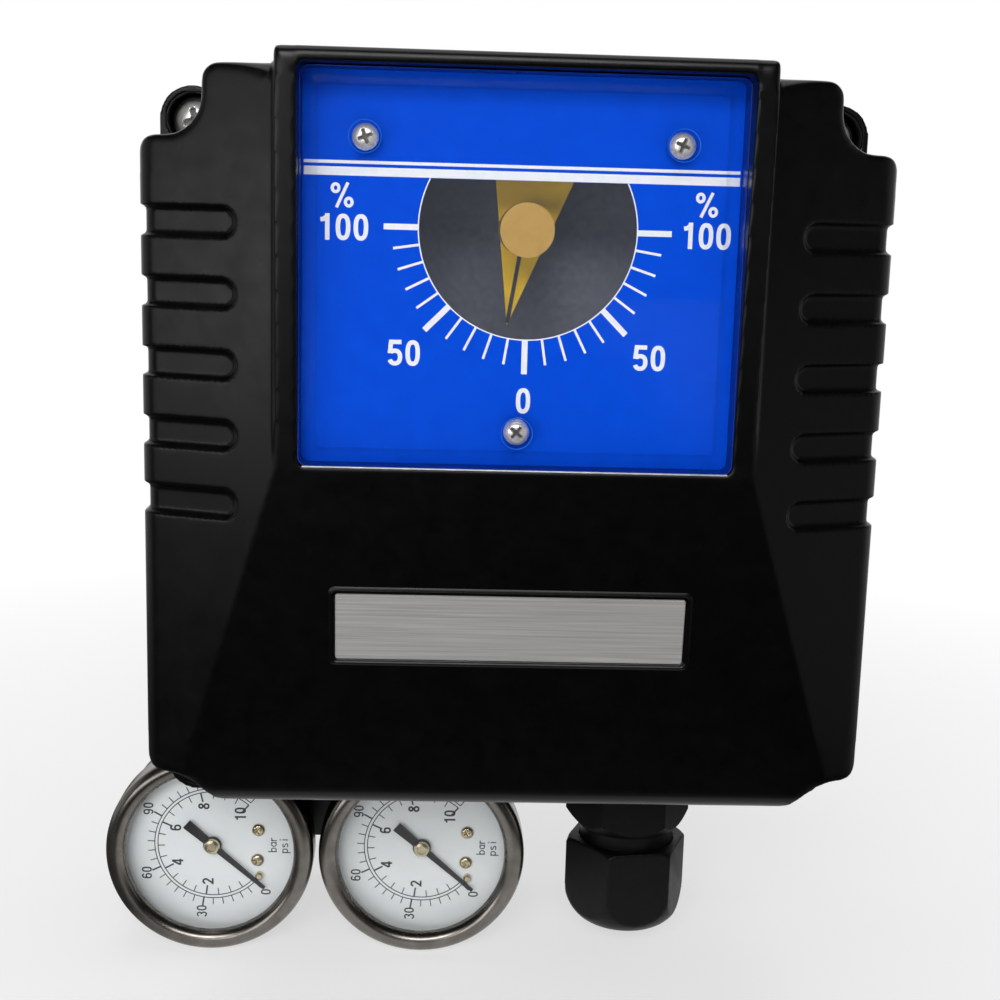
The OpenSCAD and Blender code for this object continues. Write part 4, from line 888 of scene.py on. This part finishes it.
CLEAR_R, CLEAR_CUT, CLEAR_STEPS = 19.15, 63.7, 96
CLEAR_BACK, CLEAR_FRONT = film_z - 0.2, film_z - 0.02
clear_turn = (360 - 2 * CLEAR_CUT) / CLEAR_STEPS
clear_part = [polar(CLEAR_R, CLEAR_CUT + clear_turn * k) for k in range(CLEAR_STEPS + 1)]
outline_piece("scale_clear_part", [clear_part], CLEAR_BACK, CLEAR_FRONT, HAIR,
              HAZE_REFLECTION, "housing")


# The bare name plate in its pocket on the lower face

plate_face = max(nodes["name_plate"].data.polygons, key=lambda face: face.area)
plate_normal = plate_face.normal if plate_face.normal.y < 0 else -plate_face.normal
plate_low, plate_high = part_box("name_plate")
plate_middle = (plate_low + plate_high) / 2
PLATE_W, PLATE_H, PLATE_LIFT, PLATE_UP = 64.0, 12.6, 0.6, 0.3
PLATE_R, PLATE_DEPTH, PLATE_EDGE = 0.5, 0.4, 0.2
PLATE_TOP_IN, PLATE_TOP_R = 0.15, 0.4
# The pocket's raised rim, from its inner wall outwards: distance from the plate, corner radius and height
POCKET_RIM = ((0.50, 0.8, 0.0), (0.55, 0.8, 0.30), (0.75, 1.0, 0.42), (1.05, 1.2, 0.36), (1.5, 1.4, 0.1))


def on_plate(x, y, z):
    """A point in mm on the plate's own plane: x right, y up, z out of its middle."""
    up = Vector((1, 0, 0)).cross(plate_normal)
    up = up if up.z > 0 else -up
    return plate_middle + (Vector((x, 0, 0)) + up * (y + PLATE_UP) + plate_normal * z) * MM


def plate_loop(by, r):
    return round_box(-PLATE_W / 2 - by, PLATE_W / 2 + by, -PLATE_H / 2 - by, PLATE_H / 2 + by, r)


def plate_sheet(made):
    edge, top = plate_loop(0, PLATE_R), plate_loop(-PLATE_TOP_IN, PLATE_TOP_R)
    capped_loft(made, on_plate, [(edge, -PLATE_DEPTH), (edge, PLATE_LIFT - PLATE_EDGE), (top, PLATE_LIFT)])


def plate_pocket(made):
    loft(made, on_plate, [(plate_loop(by, r), z) for by, r, z in POCKET_RIM])


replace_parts(turned("name_plate_sheet", plate_sheet, BRUSHED, "housing"), "name_plate")
turned("name_plate_pocket", plate_pocket, COAT, "housing")


# Gauge bezels, the small parts on the dials and the needles' hubs

BEZEL_W, BEZEL_WALL, BEZEL_EDGE = 4.4, 1.16, 0.3
BEZEL_CROWN, BEZEL_SIDE, BEZEL_STEPS = 2.2, 2.6, 16
LENS_GAP = 0.03
# Offset from the gauge's middle and turn of the cross
DIAL_SCREWS = ((10.1, 3.4, 25), (9.9, -3.7, 60))
DIAL_HEAD_R, DIAL_HEAD_H, DIAL_HEAD_LIFT, DIAL_SHANK_R, DIAL_SHANK = 1.45, 0.8, 0.02, 0.5, 0.4
STOP_PIN_R, STOP_PIN_CLOCK = 12.6, 125
# Profiles of radius and height, above the dial and above the needle
STOP_PIN = ((0, 0), (0.85, 0), (0.85, 0.9), (0.6, 1.2), (0, 1.25))
HUB = ((0, -0.5), (1.75, -0.5), (1.75, -0.1), (1.55, 0.25), (1.0, 0.4), (0.9, 0.3), (0, 0.3))


def bezel(side):
    low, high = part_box(side + "_gauge_bezel")
    at = middle_of(low, high)
    r, front, back = (high.x - low.x) / 2 / MM, top_of(side + "_gauge_bezel"), -high.y / MM
    lens = top_of(side + "_gauge_lens") + LENS_GAP
    loop = [(r - BEZEL_WALL, back), (r - BEZEL_EDGE, back), (r, back + BEZEL_EDGE), (r, front - BEZEL_SIDE)]
    for k in range(BEZEL_STEPS + 1):
        a = math.radians(k * 180 / BEZEL_STEPS)
        loop.append((r - BEZEL_W / 2 + BEZEL_W / 2 * math.cos(a),
                     front - BEZEL_CROWN + BEZEL_CROWN * math.sin(a)))
    loop += [(r - BEZEL_W, lens), (r - BEZEL_WALL, lens)]

    def trim(made):
        z = top_of(side + "_gauge_dial")
        for x, y, turn in DIAL_SCREWS:
            screw(made, facing((at[0] + x, at[1] + y)), DIAL_HEAD_R, DIAL_HEAD_H, z + DIAL_HEAD_LIFT,
                  DIAL_SHANK_R, DIAL_SHANK, turn, 20, 48)
        x, y = polar(STOP_PIN_R, STOP_PIN_CLOCK)
        lathe(made, facing((at[0] + x, at[1] + y)), [(r, z + h) for r, h in STOP_PIN], 32)

    def hub(made):
        z = top_of(side + "_gauge_needle")
        lathe(made, facing(at), [(r, z + h) for r, h in HUB], 48)

    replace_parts(turned(side + "_bezel_ring", lambda made: lathe(made, facing(at), loop, 128, True),
                       CHROME, "housing"), side + "_gauge_bezel")
    turned(side + "_dial_trim", trim, PALE_GOLD, "housing")
    turned(side + "_needle_hub", hub, PALE_GOLD, side + "_needle")


for side in ("left", "right"):
    bezel(side)


# Camera at the photograph's place

LENS, SENSOR_W = 55.3436, 36.0
CAMERA_AT = Vector((-0.013974, -0.3625, 0.002403))
RIGHT = Vector((0.999095, -0.032545, 0.027378))
DOWN = Vector((0.020984, -0.182704, -0.982944))
AHEAD = Vector((0.036992, 0.982629, -0.181856))
camera = bpy.data.objects.new("camera", bpy.data.cameras.new("camera"))
scene.collection.objects.link(camera)
camera.data.lens, camera.data.sensor_width = LENS, SENSOR_W
camera.data.clip_start, camera.data.clip_end = 0.01, 20.0
camera.matrix_world = Matrix.Translation(CAMERA_AT) @ Matrix((RIGHT, -DOWN, -AHEAD)).transposed().to_4x4()
scene.camera = camera


# Studio lamps: where each stands, what it faces, its size in metres and its power in watts

def lamp(name, at, aim, size, power):
    data = bpy.data.lights.new(name, "AREA")
    data.shape, data.size, data.size_y = "RECTANGLE", size[0], size[1]
    data.energy = power
    made = bpy.data.objects.new(name, data)
    scene.collection.objects.link(made)
    made.location = at
    made.rotation_mode = "QUATERNION"
    made.rotation_quaternion = (Vector(aim) - Vector(at)).to_track_quat("-Z", "Y")


lamp("key", (-0.10, -0.96, 0.41), (0, -0.07, -0.04), (0.60, 0.28), 5.15)
lamp("left_box", (-0.473, -0.817, -0.03), (-0.03, -0.08, -0.02), (0.73, 0.24), 1.8)
lamp("top_box", (0.0, -0.05, 0.75), (0, -0.05, 0), (0.7, 0.5), 2.0)


# The room: white to the eye, and to gloss dim in front, white behind the object and pale at its sides

def maths(tree, operation, *values):
    return add(tree, "ShaderNodeMath", list(enumerate(values)), operation=operation).outputs[0]


def parts_of(tree, vector):
    return add(tree, "ShaderNodeSeparateXYZ", [("Vector", vector)]).outputs


AMBIENT = 0.28
FRONT_GLOW, BACK_GLOW, BACK_FROM, BACK_TO = 0.02, 1.0, 0.2, 0.6
FLANK_GLOW, FLANK_FROM, FLANK_TO = 0.6, 0.84, 0.96
world = bpy.data.worlds.new("studio")
scene.world = world
world.use_nodes = True
tree = world.node_tree
sky = tree.nodes["Background"]
sky.inputs["Color"].default_value = (1, 1, 1, 1)
rays = add(tree, "ShaderNodeLightPath").outputs
way = parts_of(tree, add(tree, "ShaderNodeTexCoord").outputs["Generated"])
backdrop = spread(tree, way["Y"], FRONT_GLOW, BACK_GLOW, BACK_FROM, BACK_TO)
flank = spread(tree, maths(tree, "ABSOLUTE", way["X"]), 0.0, FLANK_GLOW, FLANK_FROM, FLANK_TO)
mirrored = maths(tree, "MULTIPLY", rays["Is Glossy Ray"], maths(tree, "MAXIMUM", backdrop, flank))
ambient = spread(tree, rays["Is Glossy Ray"], AMBIENT, 0.0, 0.0, 1.0)
seen = maths(tree, "MAXIMUM", rays["Is Camera Ray"], rays["Is Transmission Ray"])
shown = maths(tree, "MAXIMUM", seen, maths(tree, "ADD", mirrored, ambient))
tree.links.new(shown, sky.inputs["Strength"])


# The floor: it keeps the object's shadow near it and turns white further off

FLOOR_SIZE, FLOOR_GAP = 3.0, 0.0004
WHITE_NEAR, WHITE_FROM, WHITE_TO = 0.6, 0.08, 0.36
# How bright gloss sees it, and between which distances in metres that begins.
# First under the object, and less to both sides of there
UNDER_GLOW, UNDER_FROM, UNDER_TO = 0.85, -0.15, -0.10
UNDER_SIDE, UNDER_SIDE_FROM, UNDER_SIDE_TO = 0.12, 0.065, 0.09
# Then on the right, far out at both sides, and behind
RIGHT_GLOW, RIGHT_FROM, RIGHT_TO = 0.3, 0.15, 0.25
SIDE_GLOW, SIDE_FROM, SIDE_TO, SIDE_FRONT, SIDE_BACK = 0.7, 0.3, 0.5, -0.25, -0.15
REAR_GLOW, REAR_FROM, REAR_TO = 0.7, 0.12, 0.25
floor_mesh = bpy.data.meshes.new("floor")
made = bmesh.new()
bmesh.ops.create_grid(made, x_segments=4, y_segments=4, size=FLOOR_SIZE)
made.to_mesh(floor_mesh)
made.free()
floor = bpy.data.objects.new("floor", floor_mesh)
scene.collection.objects.link(floor)
floor.location.z = cad_box[0].z - FLOOR_GAP
floor_finish = material("floor_pale", (0.93, 0.93, 0.93), (0.95, 0.95, 0.95), (0.8, 0.9),
                        grain=20.0, bump=NO_BUMP)
tree = floor_finish.node_tree
rays = add(tree, "ShaderNodeLightPath").outputs
where = add(tree, "ShaderNodeTexCoord").outputs["Object"]
distance = add(tree, "ShaderNodeVectorMath", [(0, where)], operation="LENGTH").outputs["Value"]
whiter = spread(tree, distance, WHITE_NEAR, 1.0, WHITE_FROM, WHITE_TO)
white = maths(tree, "MULTIPLY", rays["Is Camera Ray"], whiter)
place = parts_of(tree, where)
aside = maths(tree, "ABSOLUTE", place["X"])
under = maths(tree, "MULTIPLY", spread(tree, place["Y"], 0.0, UNDER_GLOW, UNDER_FROM, UNDER_TO),
              spread(tree, aside, 1.0, UNDER_SIDE, UNDER_SIDE_FROM, UNDER_SIDE_TO))
sides = maths(tree, "MULTIPLY", spread(tree, aside, 0.0, SIDE_GLOW, SIDE_FROM, SIDE_TO),
              spread(tree, place["Y"], 0.0, 1.0, SIDE_FRONT, SIDE_BACK))
glows = (spread(tree, place["X"], 0.0, RIGHT_GLOW, RIGHT_FROM, RIGHT_TO), sides,
         spread(tree, place["Y"], 0.0, REAR_GLOW, REAR_FROM, REAR_TO))
brightest = under
for glow in glows:
    brightest = maths(tree, "MAXIMUM", brightest, glow)
mirrored = maths(tree, "MULTIPLY", rays["Is Glossy Ray"], brightest)
light = add(tree, "ShaderNodeEmission", [("Strength", maths(tree, "ADD", rays["Is Camera Ray"], mirrored))])
mixed = add(tree, "ShaderNodeMixShader", [("Fac", maths(tree, "MAXIMUM", white, rays["Is Glossy Ray"]))])
tree.links.new(tree.nodes["Principled BSDF"].outputs[0], mixed.inputs[1])
tree.links.new(light.outputs[0], mixed.inputs[2])
tree.links.new(mixed.outputs[0], tree.nodes["Material Output"].inputs["Surface"])
floor_mesh.materials.append(floor_finish)

scene.view_settings.view_transform = "Standard"
